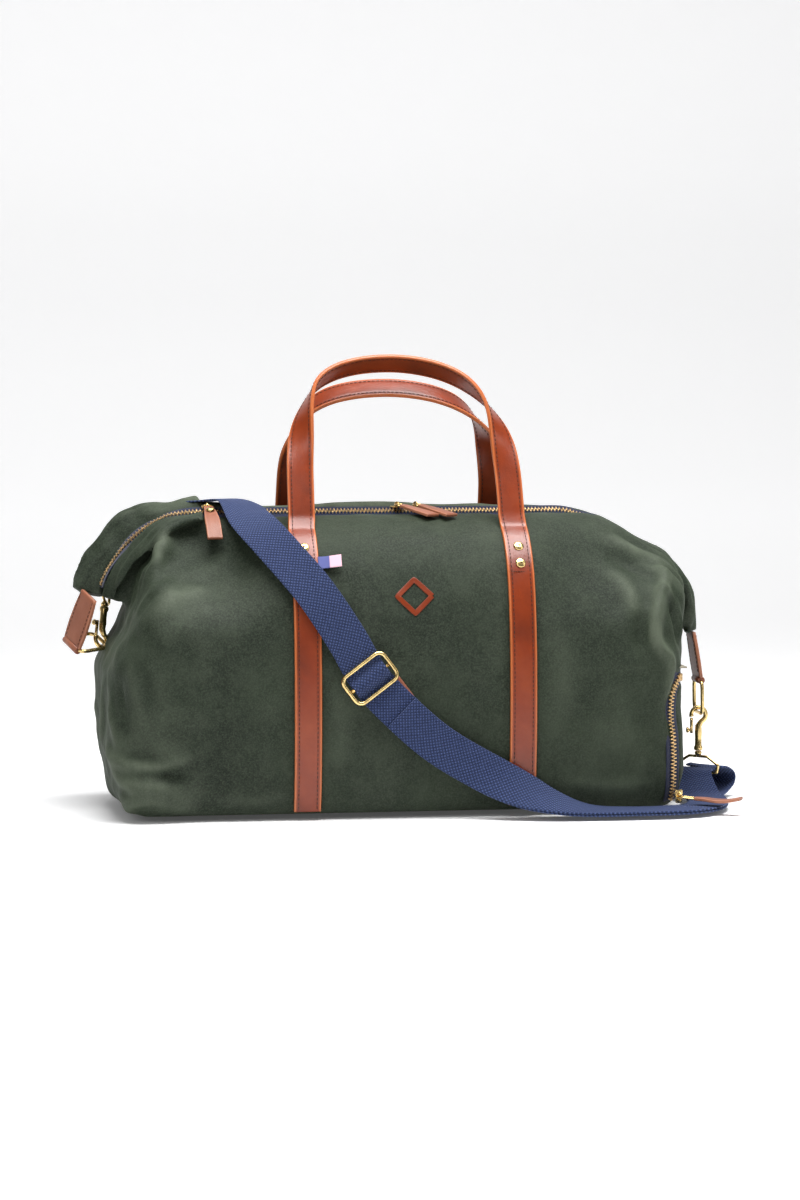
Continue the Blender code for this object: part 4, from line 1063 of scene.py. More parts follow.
def carry_strap(face, back, lean_deg, rise):
    """One length of doubled leather: up one side strap, over as the handle, and down the other."""
    path, across, y0, z0 = handle_path(back, lean_deg, rise)
    keep = path[:, 2] > z0 + 0.006
    path, across = path[keep], across[keep]
    legs = []
    for x in (-STRAP_X, STRAP_X):
        rows = [skin(x, s, 0.0, back) for s in np.linspace(0.0015, side_at_height(HINGE_Z) - 0.004, 110)]
        rows = even(on_cloth(rows, LEATHER / 2 + STRAP_GAP), 12)
        rows[:, 0] = x
        legs.append(rows)
    left, right = legs
    line = np.vstack([left, path, right[::-1]])
    sides = np.vstack([np.tile([1.0, 0, 0], (len(left), 1)), across, np.tile([-1.0, 0, 0], (len(right), 1))])
    for i in range(1, len(sides)):
        if sides[i] @ sides[i - 1] < 0:
            sides[i] = -sides[i]
    steady = spline(np.hstack([line, sides * 0.03])[::2], 620)
    line, sides = even(steady[:, :3], 4), steady[:, 3:]
    outline = band_outline(STRAP_WIDTH, LEATHER, 0.0011, groove=0.00045, crown=0.00025, seam=STRAP_SEAM)
    verts, faces, uvs = sweep(line, sides, outline)
    rim = smooth((np.abs(uvs[:, 0]) - (STRAP_WIDTH / 2 - 0.0021)) / 0.0006)
    strap = make("carry_strap_" + face, verts, faces, MATERIALS["strap"], None, "leather", uvs, {"rim": rim})
    thread = stitches(line, sides, STRAP_WIDTH / 2 - STRAP_SEAM, LEATHER / 2 + 0.0001, both=True)
    sewn = make("carry_strap_stitches_" + face, *thread, MATERIALS["thread"], None, "leather")
    for obj in (strap, sewn):
        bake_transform(obj)
    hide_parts(f"strap_{face}_left", f"strap_{face}_right", face + "_handle")
    sewn_down(face, back)


# a rivet's dome: height over the leather, radius
DOME = [(-0.0010, 0.0049), (0.0, 0.0050), (0.0005, 0.0049), (0.0010, 0.0044), (0.0014, 0.0034),
        (0.0016, 0.0022), (0.0017, 0.0010), (0.0017, 0.0001)]
RIVET_HEIGHTS = ((0.2480, "upper"), (0.2330, "lower"))
CROSS_STITCH_Z = 0.2255


def sewn_down(face, back):
    """The cross row of stitches where a handle is sewn down, and its two rivets."""
    for x, side in ((-STRAP_X, "left"), (STRAP_X, "right")):
        for z, level in RIVET_HEIGHTS:
            spot = [skin(x, side_at_height(z), 0.0, back)]
            foot = on_cloth(spot, LEATHER + 0.0007)[0]
            out = unit(foot - on_cloth(spot, 0.0)[0])
            name = f"rivet_{face}_{side}_{level}"
            cap = brass(name + "_cap", turned(foot, out, DOME, 40), "bag", 50)
            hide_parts(name)
        rows = on_cloth([skin(x + d, side_at_height(CROSS_STITCH_Z), 0.0, back)
                         for d in np.linspace(-0.009, 0.009, 9)], LEATHER + 0.0008)
        ahead = np.tile(unit(rows[-1] - rows[0]), (len(rows), 1))
        out = np.tile(unit(np.cross(ahead[0], (0, 0, 1))) * (-1.0 if back else 1.0), (len(rows), 1))
        if (out[0][1] > 0) != back:
            out = -out
        thread = copies(stitch_shape(0.0019, 0.0004), rows, ahead, np.cross(out, ahead), out)
        make(f"cross_stitches_{face}_{side}", *thread, MATERIALS["thread"], "bag", "leather")


# ---- zips ---------------------------------------------------------------------------------
def zip_height(x):
    """Height of the CAD's top zip tape."""
    return PROFILE[-1][1] + 0.0012 - end_drop(abs(x))


TOOTH_SIZE, TOOTH_BEVEL, TOOTH_PITCH = (0.00135, 0.0038, 0.0021), 0.00035, 0.0034
TOOTH_SPREAD, TOOTH_RISE = 0.0014, 0.0014


def quads_only(shape):
    """A shape whose triangles are written as four corners, so that all faces stack in one table."""
    return shape[0], [f if len(f) == 4 else (f[0], f[1], f[2], f[2]) for f in shape[1]]


def zip_run(name, path, out, replaced, tape_half):
    """One strip as wide as both tapes, and interlocked teeth along a path; out points away from the cloth."""
    path, out = np.asarray(path, float), np.asarray(out, float)
    across = units(np.cross(np.gradient(path, axis=0), out))
    tape = sweep(path, across, band_outline(2 * tape_half, 0.0009, 0.0003, across=9))
    strip = make(name + "_tape", tape[0], tape[1], MATERIALS["tape"], "bag", "tape", tape[2])
    spots, forward, side, up = along(path, across, 0.001, 0.001, TOOTH_PITCH / 2)
    hand = np.where(np.arange(len(spots)) % 2 == 0, 1.0, -1.0)[:, None]
    if up[0] @ out[0] < 0:
        up = -up
    centres = spots + side * hand * TOOTH_SPREAD + up * TOOTH_RISE
    tooth = quads_only(rounded_box(TOOTH_SIZE, TOOTH_BEVEL, 2))
    verts, faces = copies(tooth, centres, forward, side, up)
    teeth = make(name + "_teeth", verts, faces, MATERIALS["teeth"], "bag", "brass", sharp=50)
    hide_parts(*replaced[0])
    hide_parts(*replaced[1])


ZIP_TILT = math.radians(32)              # the zip faces forwards, as the cloth behind it stands higher
ZIP_SUNK = 0.0018                        # how far its tape lies below the crest of the gathered end


def top_zip_path():
    """The zip's line, and the direction out of the bag along it."""
    fall = [(0.204, -0.003, 0.2640), (0.197, -0.003, 0.2690), (0.188, -0.002, 0.2722), (0.176, 0.0, 0.2752)]
    flat = fall + [(x, 0.0, zip_height(x) - 0.0006) for x in np.linspace(0.160, -0.196, 11)]
    ear = EAR_LEFT[(EAR_LEFT[:, 0] < -0.218) & (EAR_LEFT[:, 1] > 0.198)][::5]
    crest = settle(np.stack([ear[:, 0], 0 * ear[:, 0], ear[:, 1] + 0.004], axis=1), plain_field, 6)
    crest = crest - normals(crest, plain_field) * ZIP_SUNK
    line = spline(np.vstack([flat, crest]), 300)
    tilt = np.tile([0.0, -math.sin(ZIP_TILT), math.cos(ZIP_TILT)], (len(line), 1))
    outward = normals(line, plain_field)
    share = smooth((-line[:, 0] - 0.205) / 0.03)[:, None]
    return line, even(tilt * (1 - share) + outward * share, 20)


PULL_LENGTH, PULL_WIDTH, PULL_THICK = 0.044, 0.0145, 0.0028
RING_OUT, RING_WIRE = 0.0052, 0.0009
BAIL_HALF, BAIL_FOOT, BAIL_RISE, BAIL_WIRE, BAIL_PIVOT = 0.0036, 0.0016, 0.0042, 0.0008, 0.0037
SMALL_DOME = [(-0.001, 0.0041), (0.0003, 0.0042), (0.0009, 0.0038), (0.0013, 0.0026), (0.0014, 0.0010),
              (0.0014, 0.0001)]
LINK_HALF, LINK_WIDE, LINK_CORNER, LINK_WIRE = 0.0078, 0.0042, 0.0040, 0.0009
SHOE_PULL_OUT = (0.87, -0.49, -0.06)     # the way the shoe pull lies on the floor
SHOE_PULL_CURL = [(0.0, 0.0), (0.010, 0.0003), (0.021, 0.0), (0.032, 0.0012), (0.0445, 0.0046)]


def slider_shape(seat, long, wide, up):
    """A zip slider: shouldered body with an arched bail."""
    plate = placed(rounded_box((0.0125, 0.0086, 0.0014), 0.0006, 3), seat + up * 0.0014, long, wide, up)
    nose = placed(rounded_box((0.0052, 0.0098, 0.0012), 0.0005, 3), seat + up * 0.0013 + long * 0.0030,
                  long, wide, up)
    bail = [seat + long * BAIL_HALF * math.cos(a) + up * (BAIL_FOOT + BAIL_RISE * math.sin(a))
            for a in np.linspace(0, math.pi, 21)]
    return joined([plate, nose, tube(bail, BAIL_WIRE, 14)])


def pull_piece(name, path, wide, widths, body):
    """A leather zip pull with a seam line round its edge."""
    even_path = spline(np.hstack([path, np.asarray(widths)[:, None]]), 60)
    line, width = even_path[:, :3], even_path[:, 3]
    section = band_outline(PULL_WIDTH, PULL_THICK, 0.0008, 0.0003, 0.0002, seam=0.0022, across=13)
    verts, faces, uvs = sweep(line, [wide] * len(line), section, width / PULL_WIDTH)
    rim = smooth((np.abs(uvs[:, 0]) - (PULL_WIDTH / 2 - 0.0010)) / 0.0004)
    pull = make(name, verts, faces, MATERIALS["tab"], body, "tab_leather", uvs, {"rim": rim})
    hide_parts(body)


def slider_set(label, x, fall_deg, side_deg, droop, with_rivet):
    """A zip slider, its ring, and a leather pull, in the CAD's places."""
    seat = np.array([x, 0.0, zip_height(x) + 0.0028])
    side, fall = math.radians(side_deg), math.radians(fall_deg)
    ahead = np.array([math.sin(side), -math.cos(side), 0.0])
    shape = slider_shape(seat, ahead, np.cross(UP, ahead), UP)
    base = brass("zip_slider_" + label, shape, "slider_" + label, 40)
    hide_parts("slider_" + label)
    pivot = seat + UP * BAIL_PIVOT
    out = ahead * math.cos(fall) - UP * math.sin(fall)
    wide = unit(np.cross(out, UP))
    up = np.cross(wide, out)
    wire = loop(pivot + out * RING_OUT, out, wide, RING_OUT, RING_OUT, RING_OUT, 12)
    ring = brass("ring_on_" + label + "_pull", tube(wire, RING_WIRE, 12, True), "pull_" + label)
    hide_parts("pull_ring_" + label)
    start = pivot + out * (2 * RING_OUT - RING_WIRE - 0.0004)
    reach = PULL_LENGTH + 2 * RING_WIRE + 0.0008
    path = [start + out * reach * k / 5 - up * droop * (k / 5) ** 2 for k in range(6)]
    widths = [0.0085, 0.0105, 0.0130, PULL_WIDTH, PULL_WIDTH, PULL_WIDTH]
    pull_piece("leather_pull_" + label, path, wide, widths, "pull_" + label)
    if with_rivet:
        foot = start + out * 0.0125 + up * (PULL_THICK / 2)
        cap = brass("pull_rivet_cap", turned(foot, up, SMALL_DOME, 36), "pull_" + label, 50)
        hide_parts("pull_rivet_" + label)


def shoe_zip():
    """The zip round the shoe compartment's door."""
    path = on_cloth(SHOE_ZIP, 0.0006)
    path = even(spline(path, 220), 6)
    out = even(normals(path, plain_field), 8)
    zip_run("shoe_zip", path, out, (["shoe_zip_tape"], ["shoe_zip_teeth"]), 0.0085)


def shoe_slider():
    """Slider, link and curled pull at the foot of the shoe zip, in the CAD's places."""
    y, z = shoe_zip_path(40)[0] + (0.0, 0.0075)
    seat = end_face(y, z, 0.0054)
    normal = unit(end_face(y, z, 0.005) - end_face(y, z, 0.0))
    shape = slider_shape(seat, UP, np.cross(normal, UP), normal)
    base = brass("shoe_zip_slider", shape, "shoe_slider", 40)
    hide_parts("shoe_slider")
    pivot = seat + normal * BAIL_PIVOT
    out = unit(SHOE_PULL_OUT)
    side = unit(np.cross(out, UP))
    wire = loop(pivot + out * LINK_HALF, out, side, LINK_HALF, LINK_WIDE, LINK_CORNER, 10)
    link = brass("shoe_zip_link", tube(wire, LINK_WIRE, 12, True), "shoe_pull")
    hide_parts("shoe_pull_link")
    start = pivot + out * (2 * LINK_HALF - 0.0012)
    path = [start + out * far + UP * lift for far, lift in SHOE_PULL_CURL]
    pull_piece("shoe_leather_pull", path, side, [0.0085, 0.0115, 0.0145, 0.0145, 0.0140], "shoe_pull")


# ---- end tabs, rings and snap hooks -------------------------------------------------------
TAB_WIDTH, TAB_THICK = 0.034, 0.0034
TAB_SEAM, TAB_FOOT = 0.0032, 0.92        # edge to stitches, and the width's share at its lower end
RING_BAR, RING_HALF, RING_CORNER = 0.0018, 0.0165, 0.0085
HOOK_EYE, HOOK_NECK, HOOK_LENGTH = 0.0072, 0.0092, 0.0260
HOOK_OPENS, HOOK_TURN = 66, 260          # degrees: where the hook's curve starts, and how far it goes
BOLT_LENGTH, BOLT_RADIUS = 0.0150, 0.0015
KNOB = [(-0.0004, 0.0012), (0.0022, 0.0013), (0.0028, 0.0024), (0.0034, 0.0028), (0.0044, 0.0028),
        (0.0050, 0.0024), (0.0054, 0.0012), (0.0055, 0.0001)]
SWIVEL_PIN = [(0.0, 0.0026), (0.0006, 0.0034), (0.0018, 0.0037), (0.0030, 0.0034), (0.0046, 0.0024),
              (0.0060, 0.0018), (0.0066, 0.0004)]
STRAP_RING_WIRE, STRAP_RING_DROP, STRAP_RING_PLAY = 0.0014, 0.0155, 0.0035
# the strap ring's corners: shares of its half width and of its drop
HEXAGON = [(-0.45, 0.0), (0.45, 0.0), (1.0, 0.50), (0.92, 1.0), (-0.92, 1.0), (-1.0, 0.50)]


def end_tab(label, top, down, across, length):
    """Stitched leather tab that folds round the ring's upper bar."""
    top, down, across = np.asarray(top, float), unit(down), unit(across)
    across = unit(across - down * np.dot(across, down))
    bar = top + down * (length + RING_BAR + 0.0008)
    shares = np.linspace(0.0, 1.0, 16)
    rows = [top + down * length * t for t in shares]
    section = band_outline(TAB_WIDTH, TAB_THICK, 0.0010, groove=0.0004, crown=0.0002, seam=0.0030, across=15)
    widths = np.interp(shares, [0, 0.33, 0.67, 1.0], [0.80, 0.95, 1.0, TAB_FOOT])
    verts, faces, uvs = sweep(rows, [across] * 16, section, widths)
    rim = smooth((np.abs(uvs[:, 0]) - (TAB_WIDTH / 2 - 0.0012)) / 0.0005)
    roll_radius = RING_BAR + 0.0018
    roll = tube([bar + across * TAB_WIDTH * share for share in (-0.40, -0.39, 0.0, 0.39, 0.40)],
                [roll_radius * share for share in (0.8, 1.0, 1.0, 1.0, 0.8)], 24)
    verts, faces = joined([(verts, faces), roll])
    rim = np.concatenate([rim, np.zeros(len(roll[0]))])
    uvs = np.vstack([uvs, np.zeros((len(roll[0]), 2))])
    tab = make("leather_tab_" + label, verts, faces, MATERIALS["tab"], "bag", "tab_leather", uvs,
               {"rim": rim})
    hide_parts("tab_" + label)
    thread = stitches(rows, [across] * 16, TAB_WIDTH / 2 * 0.93 - TAB_SEAM, TAB_THICK / 2 + 0.0001, both=True)
    make("tab_stitches_" + label, *thread, MATERIALS["thread"], "bag", "leather")
    return bar, across


def tab_ring(label, bar, across, hang):
    """Rounded wire ring that hangs in a tab; returns the middle of its lower bar."""
    hang = unit(hang)
    wire = loop(bar + hang * RING_HALF, across, hang, RING_HALF, RING_HALF, RING_CORNER, 10)
    ring = brass("tab_ring_" + label, tube(wire, RING_BAR, 18, True), "ring_" + label)
    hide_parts("ring_" + label)
    return bar + hang * 2 * RING_HALF


def snap_hook(label, held, bar, down, spread, drop):
    """Trigger snap hook, its sliding bolt, its swivel and the strap's hexagon ring."""
    down, spread = unit(down), unit(spread)
    side = unit(np.cross(down, bar))
    spread = unit(spread - down * np.dot(spread, down))
    centre = held + down * drop
    neck = centre + down * HOOK_NECK
    foot = neck + down * HOOK_LENGTH
    path = [foot, foot - down * 0.0008, foot - down * 0.0022, foot - down * 0.0036, foot - down * 0.0050,
            neck + down * 0.014, neck + down * 0.008, neck + down * 0.002]
    radii = [0.0034, 0.0043, 0.0044, 0.0042, 0.0034, 0.0033, 0.0036, 0.0032]
    for k in range(31):
        turn = math.radians(HOOK_OPENS - HOOK_TURN * k / 30)
        path.append(centre + side * HOOK_EYE * math.cos(turn) + down * HOOK_EYE * math.sin(turn))
        radii.append(0.0025 - 0.00002 * k + 0.0004 * math.exp(-((k - 30) / 2.0) ** 2))
    hook = brass("snap_hook_" + label, tube(path, radii, 20), "hook_" + label)
    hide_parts("hook_" + label)
    bolt = centre - side * 0.0070 + down * 0.0030
    rod = tube([bolt, bolt + down * 0.008, bolt + down * BOLT_LENGTH], BOLT_RADIUS, 16)
    knob = turned(bolt + down * 0.0120, -side, KNOB, 24)
    trigger = brass("hook_trigger_" + label, joined([rod, knob]), "trigger_" + label)
    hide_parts("trigger_" + label)
    swivel = foot + down * 0.0006
    half = WEB_WIDTH / 2 + STRAP_RING_PLAY
    top_bar = swivel + down * 0.0052
    hexagon = []
    for (ua, va), (ub, vb) in zip(HEXAGON, HEXAGON[1:] + HEXAGON[:1]):
        for t in (0.04, 0.10, 0.20, 0.36, 0.50, 0.64, 0.80, 0.90, 0.96):
            u, v = ua + (ub - ua) * t, va + (vb - va) * t
            hexagon.append(top_bar + spread * half * u + down * STRAP_RING_DROP * v)
    wire = joined([tube(hexagon, STRAP_RING_WIRE, 14, True), turned(swivel, down, SWIVEL_PIN, 24)])
    ring = brass("hexagon_ring_" + label, wire, "hook_" + label)
    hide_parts("strap_ring_" + label)
    return top_bar + down * STRAP_RING_DROP, spread


# ---- shoulder strap -----------------------------------------------------------------------
LAYER = 0.0024                           # from one layer of webbing to the next
BUCKLE_X, BUCKLE_Z, BUCKLE_LIFT = -0.0450, 0.1300, 0.0105
BUCKLE_HALF, BUCKLE_LONG, BUCKLE_CORNER, BUCKLE_WIRE, BUCKLE_BAR = 0.0235, 0.0150, 0.0070, 0.0020, 0.0017
HUMP_HALF = 0.0105                       # half the length of webbing that rises over the buckle's bar
KEEPER_X, KEEPER_Z, KEEPER_LIFT, KEEPER_HALF = -0.0270, 0.1090, 0.0040, 0.012
# the strap's route, each a centre and a width direction: up the front (x, height, distance off the side),
# over the top to the left ring, and from the front over the floor to the right ring
FRONT_RUN = [(-0.0450, 0.1300, 0.0066), (-0.0667, 0.1670, 0.0074), (-0.0960, 0.2100, 0.0094),
             (-0.1275, 0.2480, 0.0098), (-0.1460, 0.2680, 0.0086)]
BACK_RUN = [((-0.158, 0.000, 0.2905), (0.70, 0.71, 0.0)), ((-0.185, 0.026, 0.2900), (0.66, 0.75, 0.0)),
            ((-0.212, 0.050, 0.2840), (0.62, 0.76, -0.15)), ((-0.238, 0.072, 0.2765), (0.52, 0.78, -0.35)),
            ((-0.260, 0.085, 0.2620), (0.25, 0.85, -0.46)), ((-0.275, 0.086, 0.2430), (0.05, 0.90, -0.44))]
FLOOR_RUN = [((0.0600, -0.1250, 0.0430), (0.55, 0.05, 0.84)), ((0.0950, -0.1310, 0.0250), (0.38, 0.52, 0.76)),
             ((0.1300, -0.1355, 0.0110), (0.16, 0.90, 0.40)), ((0.1650, -0.1370, 0.0030), (0.02, 1.0, 0.08)),
             ((0.2050, -0.1375, 0.0016), (0.0, 1.0, 0.0)), ((0.2450, -0.1350, 0.0016), (0.10, 1.0, 0.0)),
             ((0.2720, -0.1200, 0.0016), (0.70, 0.72, 0.0)), ((0.2870, -0.0900, 0.0016), (0.98, 0.20, 0.0)),
             ((0.2930, -0.0550, 0.0016), (0.98, -0.20, 0.0)), ((0.3000, -0.0220, 0.0016), (0.88, -0.48, 0.0)),
             ((0.3130, 0.0060, 0.0022), (0.76, -0.65, 0.0)), ((0.3230, 0.0180, 0.0080), (0.72, -0.69, 0.0)),
             ((0.3250, 0.0200, 0.0170), (0.72, -0.69, 0.0)), ((0.3180, 0.0140, 0.0240), (0.72, -0.69, 0.0)),
             ((0.3090, 0.0060, 0.0268), (0.72, -0.69, 0.0))]
FOLD_AT = FLOOR_RUN[8][0]                # where the doubled part leaves the floor for the right ring
FOLD_RUN = [((0.2900, -0.0400, 0.0062), (0.90, -0.42, 0.0)), ((0.2888, -0.0220, 0.0150), (0.80, -0.60, 0.0)),
            ((0.2915, -0.0095, 0.0230), (0.74, -0.67, 0.0))]
RING_WRAP = np.array([0.0009, 0.0009, 0.0040])


def front_station(x, z, out):
    """Centre and width direction of the strap where it lies on the front."""
    p = skin(x, side_at_height(z), out)
    lean = unit([0.80, 0.0, 0.60])
    normal = unit(skin(x, side_at_height(z), out + 0.001) - p)
    return p, unit(lean - normal * np.dot(lean, normal))


def resample(stations, count):
    """Centres and width directions of a run, evenly spaced."""
    rows = spline([np.concatenate([p, unit(w) * 0.02]) for p, w in stations], count)
    return rows[:, :3], rows[:, 3:]


def shoulder_strap(left_bar, left_spread, right_bar, right_spread):
    """The webbing in two pieces, as in the CAD: the long run, and the part doubled back to the buckle."""
    front = [front_station(*row) for row in FRONT_RUN]
    left_end = [(left_bar + np.array([0.001, 0.002, 0.0035]), left_spread)]
    down_run = [front_station(-0.0150, 0.0980, 0.0060), front_station(0.0200, 0.0680, 0.0058)]
    right_end = [(right_bar + RING_WRAP, right_spread)]
    path, across = resample(left_end + BACK_RUN[::-1] + front[::-1] + down_run + FLOOR_RUN + right_end, 480)
    section = band_outline(WEB_WIDTH, WEB_THICK, 0.0007, across=21)
    run = webbing("webbing_run", path, across, section)
    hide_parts("strap_webbing")
    first = int(np.argmin(np.linalg.norm(path - down_run[0][0], axis=1)))
    last = int(np.argmin(np.linalg.norm(path - FOLD_AT, axis=1)))
    _, _, out = frames(path, across)
    outward = np.where((out[:, 2] - out[:, 1] > 0)[:, None], out, -out)
    doubled = path[first:last] + outward[first:last] * LAYER
    tail_end = [(right_bar + RING_WRAP * (-1, -1, 1), right_spread)]
    tail_path, tail_across = resample([(doubled[-1], across[last - 1])] + FOLD_RUN + tail_end, 48)
    doubled = np.vstack([doubled, tail_path[1:]])
    sides = np.vstack([across[first:last], tail_across[1:]])
    second = webbing("webbing_doubled", doubled, sides, section)
    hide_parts("strap_doubled")


def strap_buckle():
    """Wire slide buckle, the webbing over its centre bar, and the leather pad beneath."""
    p, wide = front_station(BUCKLE_X, BUCKLE_Z, BUCKLE_LIFT)
    q = front_station(BUCKLE_X + 0.02, BUCKLE_Z - 0.025, BUCKLE_LIFT)[0]
    run = unit(q - p - wide * np.dot(q - p, wide))
    outline = loop(p, wide, run, BUCKLE_HALF, BUCKLE_LONG, BUCKLE_CORNER, 12)
    bar_half = wide * (BUCKLE_HALF - 0.0025)
    bar = tube([p - bar_half, p, p + bar_half], BUCKLE_BAR, 16)
    buckle = brass("wire_slide_buckle", joined([tube(outline, BUCKLE_WIRE, 16, True), bar]), "bag")
    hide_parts("slide_buckle")
    keep, wide = front_station(KEEPER_X, KEEPER_Z, KEEPER_LIFT)
    ahead = unit(np.cross(wide, unit(front_station(KEEPER_X, KEEPER_Z, KEEPER_LIFT + 0.001)[0] - keep)))
    keep = keep + wide * 0.0032
    section = band_outline(WEB_WIDTH - 0.001, 0.0014, 0.0005, across=13)
    rows = [keep + ahead * KEEPER_HALF * t for t in np.linspace(-1, 1, 12)]
    verts, faces, uvs = sweep(rows, [wide] * 12, section)
    keeper = make("leather_keeper", verts, faces, MATERIALS["tab"], "bag", "tab_leather", uvs,
                  {"rim": np.zeros(len(verts))})
    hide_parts("strap_keeper")
    middle = front_station(BUCKLE_X, BUCKLE_Z, 0.0)[0]
    outward = unit(p - middle)
    hump = [p + run * t - outward * 0.0038 + outward * 0.0068 * math.cos(t / HUMP_HALF * math.pi / 2) ** 1.3
            for t in np.linspace(-HUMP_HALF, HUMP_HALF, 40)]
    section = band_outline(WEB_WIDTH - 0.0012, WEB_THICK, 0.0007, across=21)
    webbing("webbing_over_bar", hump, [wide] * 40, section)


# ---- small trims --------------------------------------------------------------------------
TAG_Z, TAG_WIDTH, TAG_BLOCK = 0.2350, 0.0125, 0.0115   # the darker block's length is the last
EMBLEM_Z, EMBLEM_HALF, EMBLEM_BAND = 0.205, 0.01634, 0.0048


def side_tag():
    """A small folded cloth tag in two plain blocks, caught under the left front strap."""
    x = -STRAP_X + STRAP_WIDTH / 2 - 0.001
    s = side_at_height(TAG_Z)
    rows = spline([skin(x + d, s, 0.0028 + lift) for d, lift in
                   ((0.0, 0.0), (0.007, 0.0006), (0.014, 0.0026), (0.0215, 0.0046))], 24)
    up = unit(skin(x, s + 0.005, 0.0016) - skin(x, s - 0.005, 0.0016))
    verts, faces, uvs = sweep(rows, [up] * 24, band_outline(TAG_WIDTH, 0.0009, 0.0003, across=9))
    tag = make("two_block_tag", verts, faces, MATERIALS["label"], "bag", "label", uvs,
               {"rim": (uvs[:, 1] < TAG_BLOCK).astype(float)})
    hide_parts("side_tag")


def emblem():
    """A plain diamond frame of thin leather on the front."""
    s = side_at_height(EMBLEM_Z)
    line = []
    for k in range(96):
        turn = 2 * math.pi * k / 96
        reach = EMBLEM_HALF / (abs(math.cos(turn)) + abs(math.sin(turn)))
        line.append((reach * math.cos(turn), reach * math.sin(turn)))
    rows = on_cloth([skin(u, s + v, 0.0) for u, v in line], 0.0006)
    centre = rows.mean(axis=0)
    out = unit(np.cross(rows[0] - centre, rows[24] - centre))
    if out[1] > 0:
        out = -out
    section = band_outline(EMBLEM_BAND, 0.0010, 0.0004, across=7)
    closed = np.vstack([rows, rows[:1]])
    radial = closed - centre
    radial = radial - (radial @ out)[:, None] * out
    verts, faces, uvs = sweep(closed, radial, section)
    ring = make("diamond_emblem", verts, faces[:-2], MATERIALS["strap"], "bag", "tab_leather", uvs,
                {"rim": np.zeros(len(verts))})
    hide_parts("emblem")


# ---- stage --------------------------------------------------------------------------------
def stage():
    """A pale sweep of floor and backdrop, soft lights, and the camera."""
    m = Shader("pale_floor", roughness=0.9, Base_Color=(0.90, 0.90, 0.905, 1.0),
               Emission_Color=(1.0, 1.0, 1.005, 1.0), Specular_IOR_Level=0.1)
    place = m.node("ShaderNodeSeparateXYZ")
    m.link(m.spot, place.inputs["Vector"])
    m.link(m.patch(place.outputs["Y"], 0.3, 2.6, *FLOOR_GLOW), m.main.inputs["Emission Strength"])
    curve = spline(SWEEP, 60)
    verts = [(x, y, z - 0.0002) for x in (-6.0, 6.0) for y, z in curve]
    count = len(curve)
    faces = [(i, i + 1, count + i + 1, count + i) for i in range(count - 1)]
    make("floor_sweep", verts, faces, m.material, None)
    world = bpy.data.worlds.new("studio")
    world.use_nodes = True
    backdrop = world.node_tree.nodes["Background"]
    backdrop.inputs["Color"].default_value = (1.0, 1.0, 1.0, 1.0)
    backdrop.inputs["Strength"].default_value = WORLD_STRENGTH
    bpy.context.scene.world = world
    for name, place, size, power in LIGHTS:
        lamp = bpy.data.lights.new(name, "AREA")
        lamp.shape = "RECTANGLE"
        lamp.size, lamp.size_y = size
        lamp.energy = power
        obj = bpy.data.objects.new(name, lamp)
        obj.location = place
        obj.rotation_euler = (Vector(LIGHTS_AIM) - Vector(place)).to_track_quat("-Z", "Y").to_euler()
        bpy.context.scene.collection.objects.link(obj)
    azimuth, elevation = math.radians(CAMERA_AZIMUTH), math.radians(CAMERA_ELEVATION)
    back = Vector((math.sin(azimuth) * math.cos(elevation), -math.cos(azimuth) * math.cos(elevation),
                   math.sin(elevation)))
    camera = bpy.data.cameras.new("camera")
    camera.lens, camera.sensor_width = CAMERA_LENS, 36.0
    camera.clip_end = 30.0
    obj = bpy.data.objects.new("camera", camera)
    obj.location = Vector(CAMERA_TARGET) + back * CAMERA_DISTANCE
    obj.rotation_euler = (-back).to_track_quat("-Z", "Y").to_euler()
    bpy.context.scene.collection.objects.link(obj)
    bpy.context.scene.camera = obj
    bpy.context.scene.view_settings.view_transform = "Standard"


# the floor's line, away from the camera: distance back, height
SWEEP = [(-4.0, 0.0), (-1.0, 0.0), (1.5, 0.0), (2.4, 0.10), (3.1, 0.45), (3.5, 1.2), (3.6, 4.0)]
FLOOR_GLOW, WORLD_STRENGTH = (0.06, 0.44), 0.17
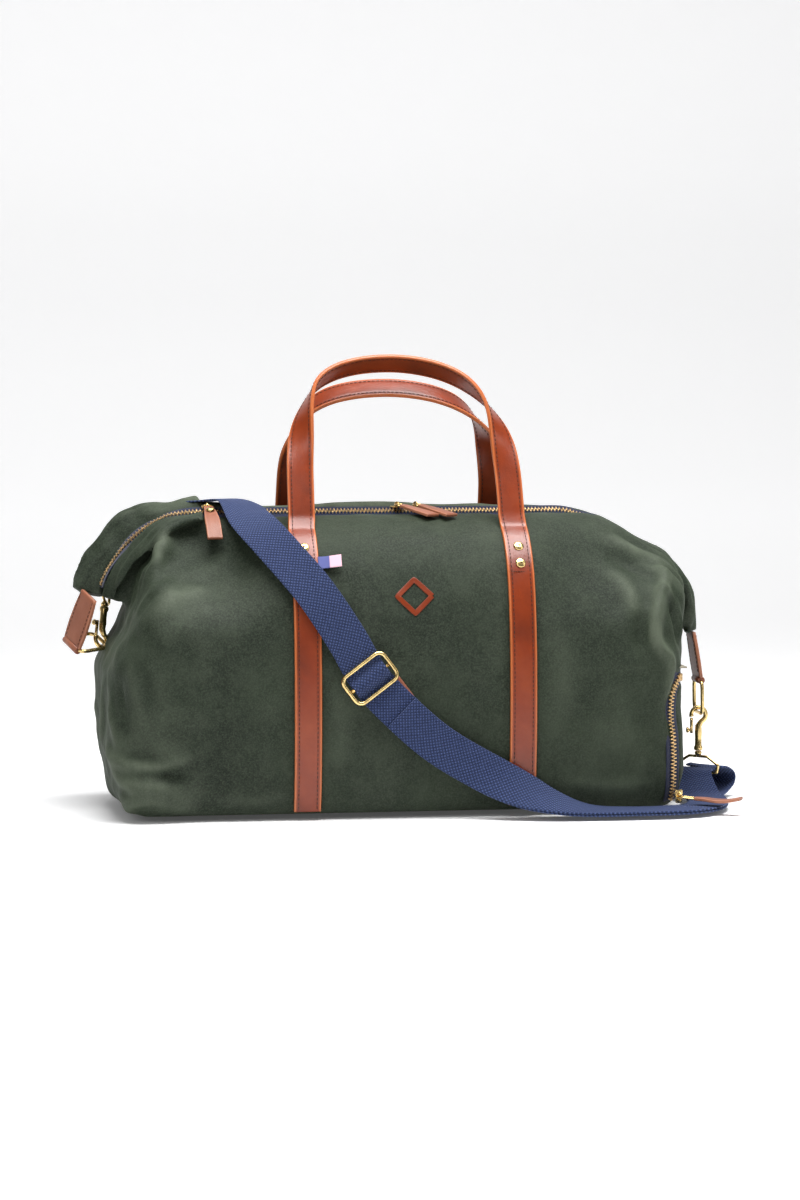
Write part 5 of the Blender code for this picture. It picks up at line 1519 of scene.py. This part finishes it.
# name, place, size, watts
LIGHTS = [("top_softbox", (0.10, -0.30, 1.6), (1.5, 0.9), 54.0),
          ("front_fill", (-1.3, -2.4, 1.5), (1.2, 1.2), 13.0),
          ("right_strip", (2.0, -1.0, 1.0), (0.6, 1.6), 8.0)]
LIGHTS_AIM = (0.0, 0.0, 0.15)
CAMERA_AZIMUTH, CAMERA_ELEVATION, CAMERA_DISTANCE, CAMERA_LENS = -8.5, 4.0, 3.0, 93.0
CAMERA_TARGET = (0.002, 0.0, 0.194)


def build():
    """Every piece, and the plain materials of what is inside."""
    stage()
    canvas_body()
    carry_strap("front", False, 19.0, 0.1605)
    carry_strap("back", True, 20.0, 0.1365)
    path, out = top_zip_path()
    zip_run("top_zip", path, out, (["zip_tape_front", "zip_tape_back"],
                                   ["zip_teeth_front", "zip_teeth_back"]), 0.0086)
    slider_set("left", -0.1850, 11.0, 4.0, 0.019, True)
    slider_set("middle", -0.0010, 8.0, 30.0, 0.001, False)
    slider_set("right", 0.0170, 8.0, 30.0, 0.001, False)
    shoe_zip()
    shoe_slider()
    bar, across = end_tab("left", (-0.298, -0.006, 0.202), (-0.30, 0.25, -0.90), (0.36, -0.80, -0.45), 0.050)
    held = tab_ring("left", bar, across, (0.86, 0.48, 0.09))
    left_bar, left_spread = snap_hook("left", held, across, (0.12, 0.47, 0.87), (0.2, 0.9, -0.4), 0.0)
    bar, across = end_tab("right", (0.2908, 0.0, 0.160), (0.16, 0.0, -0.99), (0.0, 1.0, 0.0), 0.045)
    held = tab_ring("right", bar, across, (0.02, 0.0, -1.0))
    right_bar, right_spread = snap_hook("right", held, across, (0.0, 0.0, -1.0), (0.72, -0.69, 0.0), 0.0022)
    shoulder_strap(left_bar, left_spread, right_bar, right_spread)
    strap_buckle()
    side_tag()
    emblem()
    for node, kind in (("base_board", "board"), ("shoe_wall", "lining"), ("inner_pocket", "lining")):
        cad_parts[node].data.materials.clear()
        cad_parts[node].data.materials.append(MATERIALS[kind])


build()
